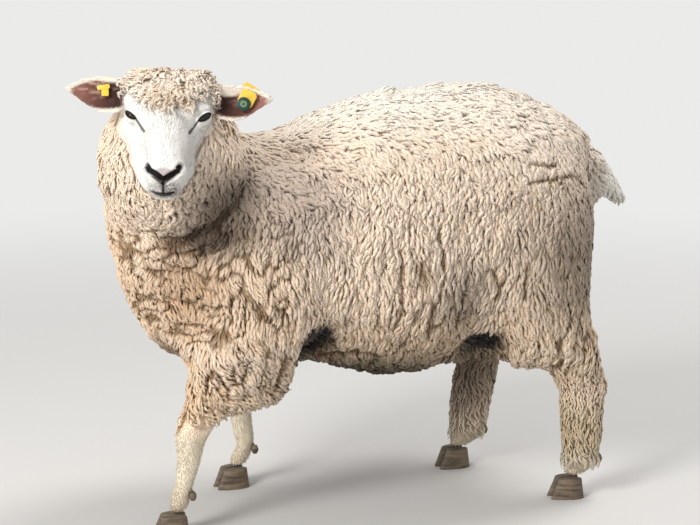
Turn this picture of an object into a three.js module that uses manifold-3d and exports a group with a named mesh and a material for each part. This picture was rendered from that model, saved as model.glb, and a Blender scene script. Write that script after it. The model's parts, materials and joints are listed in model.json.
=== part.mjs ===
// A young long-woolled sheep in full fleece, walking, with its head turned to its left.
// Units are millimetres. The sheep faces -X, its left side is -Y, and +Z is up.
// The body is one rounded form, made of smoothly joined blobs and limbs, and parted by thin plane cuts
// into the pieces that a person would name. Eyes, ears, claws and ear tags are pieces of their own.
import * as THREE from "three";
import { mergeVertices } from "three/addons/utils/BufferGeometryUtils.js";
import Module from "manifold-3d";

const wasm = await Module();
wasm.setup();

// ---- Driving dimensions -------------------------------------------------------------------------
const BACK_HEIGHT = 700; // ground to the top of the fleece over the hips
const BARREL_DEPTH = 470; // back to belly, in fleece
const BARREL_WIDTH = 428;
const TRACK = 236; // between the middles of the left and right feet
const KNEE_HEIGHT = 160;
const HOCK_HEIGHT = 212;
const FETLOCK_HEIGHT = 76;
const CORONET_HEIGHT = 36; // top of the horn of the claw
const GAP = 0.4; // between neighbouring pieces
const HEAD_YAW = 71.6; // turn of the head to the left, from straight ahead
const HEAD_PITCH = 40; // the nose points down by this much
const HEAD_ROLL = -2.6; // the left ear hangs lower
const EYE_MID = [-371, -178, 696]; // the point midway between the eyes
const EYE_SPAN = 102; // between the middles of the eyeballs
const EYE_RADIUS = 14.5;
const EAR_LENGTH = 98;
const EAR_WIDTH = 51;
const CELL = { body: 43, head: 16, leg: 22, tail: 20 }; // facet sizes

const FLEECE = new THREE.MeshStandardMaterial({ name: "fleece", color: 0xd8c3a8, roughness: 1 });
const FACE_HAIR = new THREE.MeshStandardMaterial({ name: "face_hair", color: 0xf1ece6, roughness: 0.8 });
const LEG_HAIR = new THREE.MeshStandardMaterial({ name: "leg_hair", color: 0xe4d6c2, roughness: 0.9 });
const HORN = new THREE.MeshStandardMaterial({ name: "claw_horn", color: 0x4a3b2c, roughness: 0.5 });
const EYE = new THREE.MeshStandardMaterial({ name: "eye", color: 0x2a1a10, roughness: 0.08 });
const TAG_YELLOW = new THREE.MeshStandardMaterial({ name: "tag_yellow", color: 0xf2c21c, roughness: 0.4 });
const TAG_DARK = new THREE.MeshStandardMaterial({ name: "tag_button", color: 0x1d3a25, roughness: 0.4 });

// ---- Forms: each is a function of a point that is negative inside and about a distance ----------
const vec = (p) => new THREE.Vector3(...p);

function blob(centre, radii, turnY = 0) {
  const c = vec(centre);
  const back = new THREE.Quaternion().setFromAxisAngle(vec([0, 1, 0]), -THREE.MathUtils.degToRad(turnY));
  const q = new THREE.Vector3();
  return (p) => {
    q.copy(p).sub(c).applyQuaternion(back);
    const near = Math.hypot(q.x / radii[0], q.y / radii[1], q.z / radii[2]);
    const slope = Math.hypot(q.x / radii[0] ** 2, q.y / radii[1] ** 2, q.z / radii[2] ** 2);
    return slope < 1e-9 ? -Math.min(...radii) : (near * (near - 1)) / slope;
  };
}

function limb(from, to, startRadius, endRadius) {
  const a = vec(from);
  const along = vec(to).sub(a);
  const q = new THREE.Vector3();
  return (p) => {
    const t = THREE.MathUtils.clamp(q.copy(p).sub(a).dot(along) / along.lengthSq(), 0, 1);
    return q.addScaledVector(along, -t).length() - THREE.MathUtils.lerp(startRadius, endRadius, t);
  };
}

function blend(a, b, reach) {
  const h = Math.max(reach - Math.abs(a - b), 0) / reach;
  return Math.min(a, b) - (h * h * reach) / 4;
}

const joined = (forms, reach) => (p) => forms.reduce((d, form) => blend(d, form(p), reach), 1e6);

// Limbs end to end through knots, each a point and the radius there.
function chain(...knots) {
  const limbs = knots.slice(1).map(([to, radius], i) => limb(knots[i][0], to, knots[i][1], radius));
  return (p) => Math.min(...limbs.map((form) => form(p)));
}

// ---- The head's own frame: x to its left, y up off the forehead, z out along the nose -----------
const headFrame = (() => {
  const degrees = THREE.MathUtils.degToRad;
  const facing = vec([-1, 0, 0]).applyAxisAngle(vec([0, 0, 1]), degrees(HEAD_YAW));
  const left = vec([0, 0, 1]).cross(facing);
  facing.applyAxisAngle(left, degrees(HEAD_PITCH));
  left.applyAxisAngle(facing, degrees(HEAD_ROLL));
  const up = facing.clone().cross(left);
  return new THREE.Matrix4().makeBasis(left, up, facing).setPosition(...EYE_MID);
})();
const intoHead = headFrame.clone().invert();
const onHead = (p) => vec(p).applyMatrix4(headFrame).toArray();
const outOfHead = (form) => {
  const q = new THREE.Vector3();
  return (p) => form(q.copy(p).applyMatrix4(intoHead));
};
const bothSides = (make) => [make(1), make(-1)];

// ---- The body's forms ---------------------------------------------------------------------------
const BARREL_MIDDLE = BACK_HEIGHT - 5 - BARREL_DEPTH / 2;

const trunkForm = joined(
  [
    blob([30, 0, BARREL_MIDDLE + 8], [308, BARREL_WIDTH / 2, BARREL_DEPTH / 2 - 8], -8),
    blob([62, 0, 396], [215, 176, 181]), // belly
    blob([-204, 0, 431], [185, 184, 186]), // chest and shoulders
    blob([-284, 5, 408], [122, 124, 134]), // breast
    blob([214, 0, 479], [204, 196, 220], 2), // rump
    blob([288, 0, 468], [74, 156, 138]), // buttocks
    ...bothSides((s) => blob([-185, s * 118, 405], [108, 82, 156], 12)), // shoulder blades
    ...bothSides((s) => blob([262, s * 104, 390], [94, 88, 158], 8)), // thighs
  ],
  44,
);

const neckForm = joined(
  [
    chain([[-215, 0, 484], 149], [[-312, -28, 540], 130], [[-345, -80, 612], 119], [[-352, -105, 652], 92]),
    blob([-318, -8, 470], [114, 120, 112]), // throat
    blob([-374, -98, 590], [90, 98, 74]), // ruff under the jaw
  ],
  30,
);

const headForm = outOfHead(
  joined(
    [
      blob([0, -14, -40], [56, 46, 50]), // brain case
      chain([[0, -14, -10], 44], [[0, -12, 40], 38], [[0, -10, 92], 27]), // bridge of the nose
      blob([0, -16, 106], [36, 27, 26]), // muzzle
      blob([0, -49, 106], [30, 18, 26]), // chin
      chain([[0, -54, -2], 32], [[0, -48, 92], 23]), // lower jaw
      ...bothSides((s) => blob([s * 33, -34, -8], [25, 38, 54])), // cheeks
      ...bothSides((s) => blob([s * 48, 9, -6], [19, 18, 26])), // rims of the eye sockets
      ...bothSides((s) => limb([s * 40, 2, -36], [s * 70, 2, -34], 24, 17)), // roots of the ears
    ],
    12,
  ),
);

const topknotForm = outOfHead(
  joined(
    [
      blob([0, 16, -36], [70, 29, 41]),
      blob([4, 27, -6], [40, 19, 22]),
      ...bothSides((s) => blob([s * 44, 2, -50], [30, 36, 34])),
    ],
    14,
  ),
);

function legForm({ top, knee, fetlock, foot, radii }) {
  return chain([top, radii.top], [knee, radii.knee], [fetlock, radii.fetlock], [foot, radii.pastern]);
}

const ankle = (x, y) => [x, y, FETLOCK_HEIGHT];
const pastern = (x, y) => [x, y, CORONET_HEIGHT + 8];
const side = TRACK / 2;
const FORE_RADII = { top: 64, knee: 26, fetlock: 21, pastern: 20 };
const HIND_RADII = { top: 84, knee: 46, fetlock: 36, pastern: 22 };

const LEGS = {
  fore_left: {
    top: [-256, -side - 2, 330],
    knee: [-325, -side, KNEE_HEIGHT],
    fetlock: ankle(-342, -side),
    foot: pastern(-352, -side),
    radii: FORE_RADII,
    heading: -6,
  },
  fore_right: {
    top: [-206, side, 330],
    knee: [-186, side, KNEE_HEIGHT],
    fetlock: ankle(-172, side),
    foot: pastern(-188, side),
    radii: FORE_RADII,
    heading: 6,
  },
  hind_left: {
    top: [272, -side + 2, 385],
    knee: [357, -side, HOCK_HEIGHT],
    fetlock: ankle(360, -side),
    foot: pastern(344, -side),
    radii: HIND_RADII,
    heading: -5,
  },
  hind_right: {
    top: [232, side - 2, 385],
    knee: [262, side, HOCK_HEIGHT],
    fetlock: ankle(242, side),
    foot: pastern(224, side),
    radii: HIND_RADII,
    heading: 5,
  },
};

const elbowFringe = joined(
  bothSides((s) => blob([s > 0 ? -188 : -234, s * side, 262], [80, 48, 68])),
  10,
);
const tailForm = chain([[375, 0, 575], 40], [[422, 0, 543], 27], [[466, 0, 499], 13]);

const legForms = Object.values(LEGS).map(legForm);
const bodyForm = joined([trunkForm, neckForm, elbowFringe, ...legForms, tailForm], 34);
const wholeForm = joined([bodyForm, topknotForm, headForm], 12);

// ---- From a form to a faceted solid -------------------------------------------------------------
function slopeOf(form, p) {
  const step = 0.5;
  const at = (x, y, z) => form(new THREE.Vector3(p.x + x, p.y + y, p.z + z));
  return new THREE.Vector3(
    at(step, 0, 0) - at(-step, 0, 0),
    at(0, step, 0) - at(0, -step, 0),
    at(0, 0, step) - at(0, 0, -step),
  ).divideScalar(2 * step);
}

function settle(form, p) {
  for (let round = 0; round < 3; round++) {
    const slope = slopeOf(form, p);
    p.addScaledVector(slope, -form(p) / Math.max(slope.lengthSq(), 0.2));
  }
  return p;
}

// One vertex in each grid cell that the surface crosses, and a quad round each grid edge that it crosses.
function faceted(form, [low, high], cell) {
  const count = low.map((v, i) => Math.ceil((high[i] - v) / cell) + 1);
  const index = (i, j, k) => i + count[0] * (j + count[1] * k);
  const point = (i, j, k) => new THREE.Vector3(low[0] + i * cell, low[1] + j * cell, low[2] + k * cell);
  const value = new Float32Array(count[0] * count[1] * count[2]);
  const eachCell = (visit) => {
    for (let k = 0; k < count[2]; k++)
      for (let j = 0; j < count[1]; j++) for (let i = 0; i < count[0]; i++) visit(i, j, k);
  };
  const onRim = (i, j, k) => [i, j, k].some((v, n) => v === 0 || v === count[n] - 1);
  eachCell((i, j, k) => (value[index(i, j, k)] = onRim(i, j, k) ? cell : form(point(i, j, k))));

  const corners = [0, 1, 2, 3, 4, 5, 6, 7].map((n) => [n & 1, (n >> 1) & 1, n >> 2]);
  const vertexOf = new Map();
  const positions = [];
  eachCell((i, j, k) => {
    if (i === count[0] - 1 || j === count[1] - 1 || k === count[2] - 1) return;
    const middle = new THREE.Vector3();
    let crossings = 0;
    for (const a of corners)
      for (const n of [0, 1, 2]) {
        if (a[n]) continue;
        const b = a.map((v, m) => (m === n ? 1 : v));
        const va = value[index(i + a[0], j + a[1], k + a[2])];
        const vb = value[index(i + b[0], j + b[1], k + b[2])];
        if (va < 0 === vb < 0) continue;
        const from = point(i + a[0], j + a[1], k + a[2]);
        middle.add(from.lerp(point(i + b[0], j + b[1], k + b[2]), va / (va - vb)));
        crossings++;
      }
    if (!crossings) return;
    vertexOf.set(index(i, j, k), positions.length / 3);
    const margin = 0.08 * cell; // a vertex that stays in its own cell can't fold the surface over
    const [least, most] = [point(i, j, k).addScalar(margin), point(i + 1, j + 1, k + 1).addScalar(-margin)];
    positions.push(...settle(form, middle.divideScalar(crossings)).clamp(least, most).toArray());
  });

  const triangles = [];
  const around = [
    [1, 2],
    [2, 0],
    [0, 1],
  ];
  eachCell((i, j, k) => {
    for (const n of [0, 1, 2]) {
      const here = [i, j, k];
      const [u, v] = around[n];
      if (here[n] === count[n] - 1 || !here[u] || !here[v]) continue;
      const there = here.map((w, m) => w + (m === n ? 1 : 0));
      const inside = value[index(...here)] < 0;
      if (inside === value[index(...there)] < 0) continue;
      const ring = [[0, 0], [-1, 0], [-1, -1], [0, -1]].map(([du, dv]) => {
        const c = [...here];
        c[u] += du;
        c[v] += dv;
        return vertexOf.get(index(...c));
      });
      if (!inside) ring.reverse();
      triangles.push(ring[0], ring[1], ring[2], ring[0], ring[2], ring[3]);
    }
  });
  return new wasm.Manifold(
    new wasm.Mesh({
      numProp: 3,
      vertProperties: new Float32Array(positions),
      triVerts: new Uint32Array(triangles),
    }),
  );
}

function solidOf(geometry) {
  const bare = new THREE.BufferGeometry().setAttribute("position", geometry.getAttribute("position"));
  bare.setIndex(geometry.index);
  const merged = mergeVertices(bare, 1e-3);
  const mesh = new wasm.Mesh({
    numProp: 3,
    vertProperties: new Float32Array(merged.attributes.position.array),
    triVerts: new Uint32Array(merged.index.array),
  });
  mesh.merge();
  return new wasm.Manifold(mesh);
}

// The cuts leave slivers: the two ends of each very short edge become one vertex. Where two sheets of the
// surface only touch, at vertices in one spot, each vertex steps back a little into its own sheet.
const SLIVER = 0.35;
const STEP_BACK = 0.8;
function geometryOf(solid) {
  const { vertProperties, triVerts } = solid.getMesh();
  const spots = Array.from({ length: vertProperties.length / 3 }, (_, i) => vec([0, 0, 0]).fromArray(vertProperties, 3 * i));
  const stand = spots.map((_, i) => i);
  const root = (i) => (stand[i] === i ? i : (stand[i] = root(stand[i])));
  for (let t = 0; t < triVerts.length; t++) {
    const [a, b] = [triVerts[t], triVerts[t % 3 === 2 ? t - 2 : t + 1]].map(root);
    if (a !== b && spots[a].distanceTo(spots[b]) < SLIVER) stand[Math.max(a, b)] = Math.min(a, b);
  }
  const corners = [];
  for (let t = 0; t < triVerts.length; t += 3) {
    const [a, b, c] = [0, 1, 2].map((n) => root(triVerts[t + n]));
    if (a !== b && b !== c && c !== a) corners.push(a, b, c);
  }
  const sharing = Map.groupBy(new Set(corners), (i) => spots[i].toArray().map((v) => v.toFixed(2)).join());
  for (const touching of sharing.values()) {
    if (touching.length < 2) continue;
    const steps = touching.map((i) => {
      const near = vec([0, 0, 0]);
      corners.forEach((c, n) => {
        const others = [0, 1, 2].map((m) => corners[n - (n % 3) + m]);
        if (c === i) others.forEach((o) => near.add(spots[o]).sub(spots[i]));
      });
      return near.setLength(STEP_BACK);
    });
    touching.forEach((i, n) => spots[i].add(steps[n]));
  }
  const positions = new Float32Array(spots.flatMap((p) => p.toArray()));
  return new THREE.BufferGeometry().setAttribute("position", new THREE.BufferAttribute(positions, 3)).setIndex(corners);
}

// Everything on the side of a plane that its normal points to, kept half a gap away from the plane.
const FAR = 3000;
function beyond(point, normal) {
  const turn = new THREE.Quaternion().setFromUnitVectors(vec([0, 0, 1]), vec(normal).normalize());
  const block = new THREE.BoxGeometry(FAR, FAR, FAR).translate(0, 0, FAR / 2 + GAP / 2);
  return solidOf(block.applyQuaternion(turn).translate(...point));
}

function block(low, high) {
  const size = high.map((v, i) => v - low[i]);
  const middle = high.map((v, i) => (v + low[i]) / 2);
  return solidOf(new THREE.BoxGeometry(...size).translate(...middle));
}

const opposite = (normal) => normal.map((v) => -v);
const within = (solid, ...others) => others.reduce((rest, other) => rest.intersect(other), solid);
const minus = (solid, ...others) => others.reduce((rest, other) => rest.subtract(other), solid);

// ---- Parting planes -----------------------------------------------------------------------------
const NECK_CUT = { point: [-275, 0, 540], normal: [-0.72, -0.15, 0.68] };
const HEAD_CUT = { point: onHead([0, -30, -92]), normal: [-0.28, -0.72, 0.63] };
const inFront = ({ point, normal }) => beyond(point, normal);
const behind = ({ point, normal }) => beyond(point, opposite(normal));
const above = (height) => beyond([0, 0, height], [0, 0, 1]);
const below = (height) => beyond([0, 0, height], [0, 0, -1]);

// The room that a leg has to itself. A slack moves its walls and ceiling out, to part it from the trunk.
const HIND_ROOM = { span: [130, 560], inner: 36, ceiling: 298 };
const FORE_ROOM = { span: [-440, -104], inner: 50, ceiling: 264 };
function legRoom(leg, slack) {
  const { span, inner, ceiling } = leg.radii === HIND_RADII ? HIND_ROOM : FORE_ROOM;
  const walls = [inner - slack, 400].map((v) => v * Math.sign(leg.knee[1])).sort((a, b) => a - b);
  return block([span[0] - slack, walls[0], -60], [span[1] + slack, walls[1], ceiling + slack]);
}

const tailRoom = (slack) => block([400 - slack, -64 - slack, 470 - slack], [560, 64 + slack, 640]);

// ---- The pieces ---------------------------------------------------------------------------------
const sheep = new THREE.Group();
sheep.name = "sheep";
const biggest = (solid) => solid.decompose().sort((a, b) => b.volume() - a.volume())[0];
function addPiece(name, solid, material) {
  const mesh = new THREE.Mesh(geometryOf(biggest(solid)), material);
  mesh.name = name;
  sheep.add(mesh);
}

// A ready-made geometry with each of its points moved to where mould(point) says.
function moulded(geometry, mould) {
  const spots = geometry.getAttribute("position");
  const p = new THREE.Vector3();
  for (let i = 0; i < spots.count; i++) spots.setXYZ(i, ...mould(p.fromBufferAttribute(spots, i)));
  return geometry;
}

const ease = (v, low, high) => THREE.MathUtils.smoothstep(v, low, high);
const between = THREE.MathUtils.lerp;

function eyeball(s, radius) {
  const ball = new THREE.SphereGeometry(radius, 12, 8);
  return solidOf(ball.translate((s * EYE_SPAN) / 2, -1, 1).applyMatrix4(headFrame));
}

// An ear's own frame: x out along the ear, y across it and up, z out of the side that it opens to.
// The left ear is let down a little more than the right.
const EAR_ROOTS = { [-1]: [-60, 6, -36], [1]: [60, 1, -31] };
function earFrame(s) {
  const along = vec([1, 0, 0]);
  const across = vec([0, 0.63, -0.777]);
  const frame = new THREE.Matrix4().makeBasis(along, across, along.clone().cross(across));
  return headFrame.clone().multiply(frame.setPosition(...EAR_ROOTS[s]));
}

// A leaf, thick at its root and cupped towards its opening. A slack makes it that much bigger all round.
function earSolid(s, slack) {
  const leaf = new THREE.SphereGeometry(1, 10, 12).rotateZ(-s * Math.PI / 2);
  moulded(leaf, (p) => {
    const t = Math.acos(THREE.MathUtils.clamp(-s * p.x, -1, 1)) / Math.PI;
    const round = Math.hypot(p.y, p.z) || 1;
    const [across, out] = [p.y / round, p.z / round];
    const closing = Math.min(1, 9 * t, 14 * (1 - t));
    const half = EAR_WIDTH * 0.53 * (1 - t) ** 0.8 * (0.68 + 1.95 * t) * closing + slack * Math.sign(round);
    const thick = between(30, 6, ease(t, 0, 0.3)) * closing + 2 * slack;
    const cup = across ** 2 * 15 * (1 - 0.5 * t) * ease(t, 0, 0.3) * closing;
    const droop = -8 * Math.sin(Math.PI * t);
    return [s * (t * EAR_LENGTH + slack * (2 * t - 1)), half * across, cup + droop + (thick / 2) * out];
  });
  return solidOf(leaf.applyMatrix4(earFrame(s)));
}

// Half of a hoof: flat below, sloping in front, and nearly straight down its inner side.
function clawSolid({ foot, heading }, across) {
  const claw = new THREE.CylinderGeometry(1, 1, 1, 12, 1).rotateX(Math.PI / 2).translate(0, 0, 0.5);
  moulded(claw, ({ x, y, z }) => {
    const length = x > 0 ? between(36, 21, z) : between(25, 20, z);
    const width = y * across > 0 ? between(12, 10.5, z) : 9.6;
    const narrowing = 1 - 0.35 * Math.max(x, 0) ** 2;
    return [x * length, y * width * narrowing + across * 10.9, z * (CORONET_HEIGHT - GAP)];
  });
  const turn = new THREE.Matrix4().makeRotationZ(Math.PI + THREE.MathUtils.degToRad(heading));
  return solidOf(claw.applyMatrix4(turn.setPosition(foot[0] - 6, foot[1], 0)));
}

function dewclawSolid({ fetlock, radii }, across, radius) {
  const spur = new THREE.SphereGeometry(radius, 6, 5).scale(0.95, 0.8, 1.3);
  return solidOf(spur.translate(fetlock[0] + radii.fetlock - 8, fetlock[1] + across * 12, fetlock[2] - 9));
}

function addLeg(name, leg) {
  const [xs, ys] = [0, 1].map((n) => [leg.top[n], leg.knee[n], leg.foot[n]]);
  const low = [Math.min(...xs) - 185, Math.min(...ys) - 165, 8];
  const high = [Math.max(...xs) + 185, Math.max(...ys) + 165, 400];
  const limbSolid = faceted(wholeForm, [low, high], CELL.leg).intersect(legRoom(leg, 0));
  const joint = leg.knee[2] - 6;
  addPiece(`${leg.radii === HIND_RADII ? "thigh" : "forearm"}_${name}`, limbSolid.intersect(above(joint)), FLEECE);
  const shin = within(limbSolid, below(joint), above(CORONET_HEIGHT));
  const sides = [-1, 1];
  addPiece(`cannon_${name}`, minus(shin, ...sides.map((s) => dewclawSolid(leg, s, 7.5 + GAP))), LEG_HAIR);
  for (const s of sides) {
    const where = s * leg.foot[1] > 0 ? "outer" : "inner";
    addPiece(`claw_${name}_${where}`, clawSolid(leg, -s), HORN);
    addPiece(`dewclaw_${name}_${where}`, dewclawSolid(leg, s, 7.5), HORN);
  }
}

// ---- Ear tags: two plates held together by a pin through the ear --------------------------------
function plate(width, height, thick, corner) {
  const shape = new THREE.Shape();
  const [w, h] = [width / 2 - corner, height / 2 - corner];
  shape.absarc(w, h, corner, 0, Math.PI / 2);
  shape.absarc(-w, h, corner, Math.PI / 2, Math.PI);
  shape.absarc(-w, -h, corner, Math.PI, 1.5 * Math.PI);
  shape.absarc(w, -h, corner, 1.5 * Math.PI, 2 * Math.PI);
  const settings = { depth: thick, bevelEnabled: false, curveSegments: 2 };
  return new THREE.ExtrudeGeometry(shape, settings).translate(0, 0, -thick / 2);
}
function disc(radius, thick) {
  return new THREE.CylinderGeometry(radius, radius, thick, 12).rotateX(Math.PI / 2);
}
const pin = (radius) => disc(radius, 26);

// Where a tag's pin goes through its ear, in the ear's own frame.
const TAG_SPOT = { left: [55, -4, -7], right: [-39, 0, -8] };
function tagFrame(name) {
  const spot = new THREE.Matrix4().setPosition(...TAG_SPOT[name]);
  return earFrame(name === "left" ? 1 : -1).multiply(spot);
}
const onTag = (name, geometry) => solidOf(geometry.applyMatrix4(tagFrame(name)));
const tagPieces = {
  left: [
    plate(32, 44, 2, 5).rotateZ(-0.55).translate(4, 11, -12.5),
    plate(25, 26, 2, 6).rotateZ(-0.45).translate(5, 9, 12.5),
    pin(2.6),
  ],
  right: [
    plate(26, 40, 2, 5).rotateZ(-0.35).translate(4, 6, -12.5),
    plate(20, 7, 3.4, 3).rotateZ(0.2).translate(-3, 8.5, 12),
    plate(10, 13, 2.2, 2).translate(0, 2, 12),
    plate(11, 9.5, 4, 1.5).translate(0, -0.5, 14.2),
    pin(2.6),
  ],
};

// ---- Putting the sheep together -----------------------------------------------------------------
const bodyBox = [
  [-560, -330, 180],
  [480, 290, 860],
];
const headBox = [
  [-520, -360, 500],
  [-230, -40, 830],
];
const tailBox = [
  [350, -110, 420],
  [540, 110, 690],
];

const earsGrown = bothSides((s) => earSolid(s, GAP));
const rooms = [tailRoom(GAP), ...Object.values(LEGS).map((leg) => legRoom(leg, GAP))];
const body = faceted(wholeForm, bodyBox, CELL.body);
addPiece("trunk", minus(body.intersect(behind(NECK_CUT)), ...rooms), FLEECE);
addPiece("neck", within(body, inFront(NECK_CUT), behind(HEAD_CUT)), FLEECE);
const skull = faceted(wholeForm, headBox, CELL.head).intersect(inFront(HEAD_CUT));
const sockets = bothSides((s) => eyeball(s, EYE_RADIUS + GAP));
addPiece("head", minus(skull, ...earsGrown, ...sockets), FACE_HAIR);
addPiece("tail", faceted(wholeForm, tailBox, CELL.tail).intersect(tailRoom(0)), FLEECE);

for (const [name, s] of [
  ["left", 1],
  ["right", -1],
]) {
  addPiece(`eye_${name}`, eyeball(s, EYE_RADIUS), EYE);
  addPiece(`ear_${name}`, earSolid(s, 0).subtract(onTag(name, pin(2.6 + GAP))), FACE_HAIR);
  const [first, ...rest] = tagPieces[name].map((geometry) => onTag(name, geometry));
  addPiece(`tag_${name}`, rest.reduce((whole, next) => whole.add(next), first), TAG_YELLOW);
}
addPiece("tag_left_button", onTag("left", disc(11, 3).translate(0, 0, 15.4)), TAG_DARK);

for (const [name, leg] of Object.entries(LEGS)) addLeg(name, leg);

// The origin is on the ground, under the middle of the sheep's box.
const box = new THREE.Box3().setFromObject(sheep);
const middle = box.getCenter(new THREE.Vector3());
sheep.position.set(-middle.x, -middle.y, -box.min.z);
sheep.updateMatrixWorld(true);

export default sheep;
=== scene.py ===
# %% [markdown]
# # A long-woolled sheep
# The sheep stands still, as a life-size museum model does. Its plain solids come in as a fixed frame, and
# this notebook dresses them: one skin over all of the flesh, a fleece of curled locks, short hair on the
# face and the legs, and a finish for the eyes, claws and ear tags. Everything is in metres, with the ground
# at zero.

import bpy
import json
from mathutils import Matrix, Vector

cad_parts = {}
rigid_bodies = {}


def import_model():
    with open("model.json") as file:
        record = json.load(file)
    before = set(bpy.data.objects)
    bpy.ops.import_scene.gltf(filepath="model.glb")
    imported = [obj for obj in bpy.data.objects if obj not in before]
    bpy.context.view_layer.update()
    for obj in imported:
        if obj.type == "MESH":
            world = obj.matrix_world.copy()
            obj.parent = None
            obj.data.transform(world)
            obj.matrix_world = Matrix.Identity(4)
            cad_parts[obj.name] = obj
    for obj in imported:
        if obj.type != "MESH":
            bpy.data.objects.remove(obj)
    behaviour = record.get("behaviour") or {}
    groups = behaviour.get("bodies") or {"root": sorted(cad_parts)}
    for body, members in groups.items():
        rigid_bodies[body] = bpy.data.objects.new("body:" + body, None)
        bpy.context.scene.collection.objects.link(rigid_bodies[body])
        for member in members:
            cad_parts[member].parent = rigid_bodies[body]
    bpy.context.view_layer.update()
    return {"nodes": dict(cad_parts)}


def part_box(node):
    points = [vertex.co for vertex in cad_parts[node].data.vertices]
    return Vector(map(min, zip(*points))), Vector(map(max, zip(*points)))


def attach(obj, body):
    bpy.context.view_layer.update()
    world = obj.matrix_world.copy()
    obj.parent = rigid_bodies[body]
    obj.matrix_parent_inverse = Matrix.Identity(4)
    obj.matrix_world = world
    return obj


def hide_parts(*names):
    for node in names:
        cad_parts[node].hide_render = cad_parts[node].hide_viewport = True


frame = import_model()

# %% [markdown]
# ## Where things are
# A model is easier to dress in its own directions than in the room's. The sheep faces -X with its left side
# towards -Y. The head is turned and tipped, so it has directions of its own: across to its left, up off the
# forehead, and out along the nose. Both start from the eyes, because the eyes' boxes are known exactly.

# %% The body's and the head's own directions
import math
import bpy
import bmesh
import numpy as np
from mathutils import Matrix, Vector, noise
from mathutils.kdtree import KDTree

MM = 0.001
EYE_RADIUS = 14.5 * MM
HEAD_TURN, HEAD_TIP, HEAD_LEAN = (math.radians(angle) for angle in (71.6, 40, -2.6))
EYES_IN_HEAD = np.array((0, -1, 1))
HEAD_IN_BODY = np.array((-371, -178, 696))


def centre(node):
    low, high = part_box(node)
    return (Vector(low) + Vector(high)) / 2


nose = Vector((-1, 0, 0))
nose.rotate(Matrix.Rotation(HEAD_TURN, 3, "Z"))
left = Vector((0, 0, 1)).cross(nose)
nose.rotate(Matrix.Rotation(HEAD_TIP, 3, left))
left.rotate(Matrix.Rotation(HEAD_LEAN, 3, nose))
head_axes = np.array([left, nose.cross(left), nose])
eyes_middle = (centre("eye_left") + centre("eye_right")) / 2
head_origin = np.array(eyes_middle) - EYES_IN_HEAD @ head_axes * MM
body_origin = head_origin - HEAD_IN_BODY * MM


def in_head(points):
    """Millimetres across, up and out along the nose, from the point between the eyes."""
    return (points - head_origin) @ head_axes.T / MM


def in_body(points):
    """Millimetres along the body, across it and up from the ground, from under its middle."""
    return (points - body_origin) / MM


print("between the eyes:", head_origin.round(3), "under the middle:", body_origin.round(3))

# %% [markdown]
# ## The camera
# It stands to the sheep's left and a little ahead, just above its back, with a long lens, which keeps the
# proportions as they are.

# %% Camera
CAMERA_TURN, CAMERA_RISE, CAMERA_AWAY = math.radians(-18), math.radians(11), 3.715
AIM_IN_BODY = Vector((-0.019, 0, 0.410))
LENS, SENSOR = 113.14, 36


def new_object(name, data):
    thing = bpy.data.objects.new(name, data)
    bpy.context.collection.objects.link(thing)
    return thing


aim = Vector(body_origin) + AIM_IN_BODY
towards = Vector((math.sin(CAMERA_TURN), -math.cos(CAMERA_TURN), 0)) * math.cos(CAMERA_RISE)
towards.z = math.sin(CAMERA_RISE)
camera = new_object("camera", bpy.data.cameras.new("camera"))
camera.location = aim + towards * CAMERA_AWAY
camera.rotation_euler = towards.to_track_quat("Z", "Y").to_euler()
camera.data.lens, camera.data.sensor_width = LENS, SENSOR
bpy.context.scene.camera = camera
print("camera height:", round(camera.location.z, 3))

# %% [markdown]
# ## Shader sums
# A finish is a net of nodes. Written as Python sums it reads like a recipe, so a small class wraps a socket
# and turns +, -, * and ** into Math nodes.


# %% A socket that can be used in sums
class Field:
    def __init__(self, finish, socket):
        self.finish = finish
        self.socket = socket

    def sum(self, operation, first, second):
        return self.finish.add("ShaderNodeMath", {"operation": operation}, {0: first, 1: second})

    def __add__(self, other):
        return self.sum("ADD", self, other)

    def __sub__(self, other):
        return self.sum("SUBTRACT", self, other)

    def __rsub__(self, other):
        return self.sum("SUBTRACT", other, self)

    def __mul__(self, other):
        return self.sum("MULTIPLY", self, other)

    def __pow__(self, other):
        return self.sum("POWER", self, other)

    __radd__ = __add__
    __rmul__ = __mul__


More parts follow.
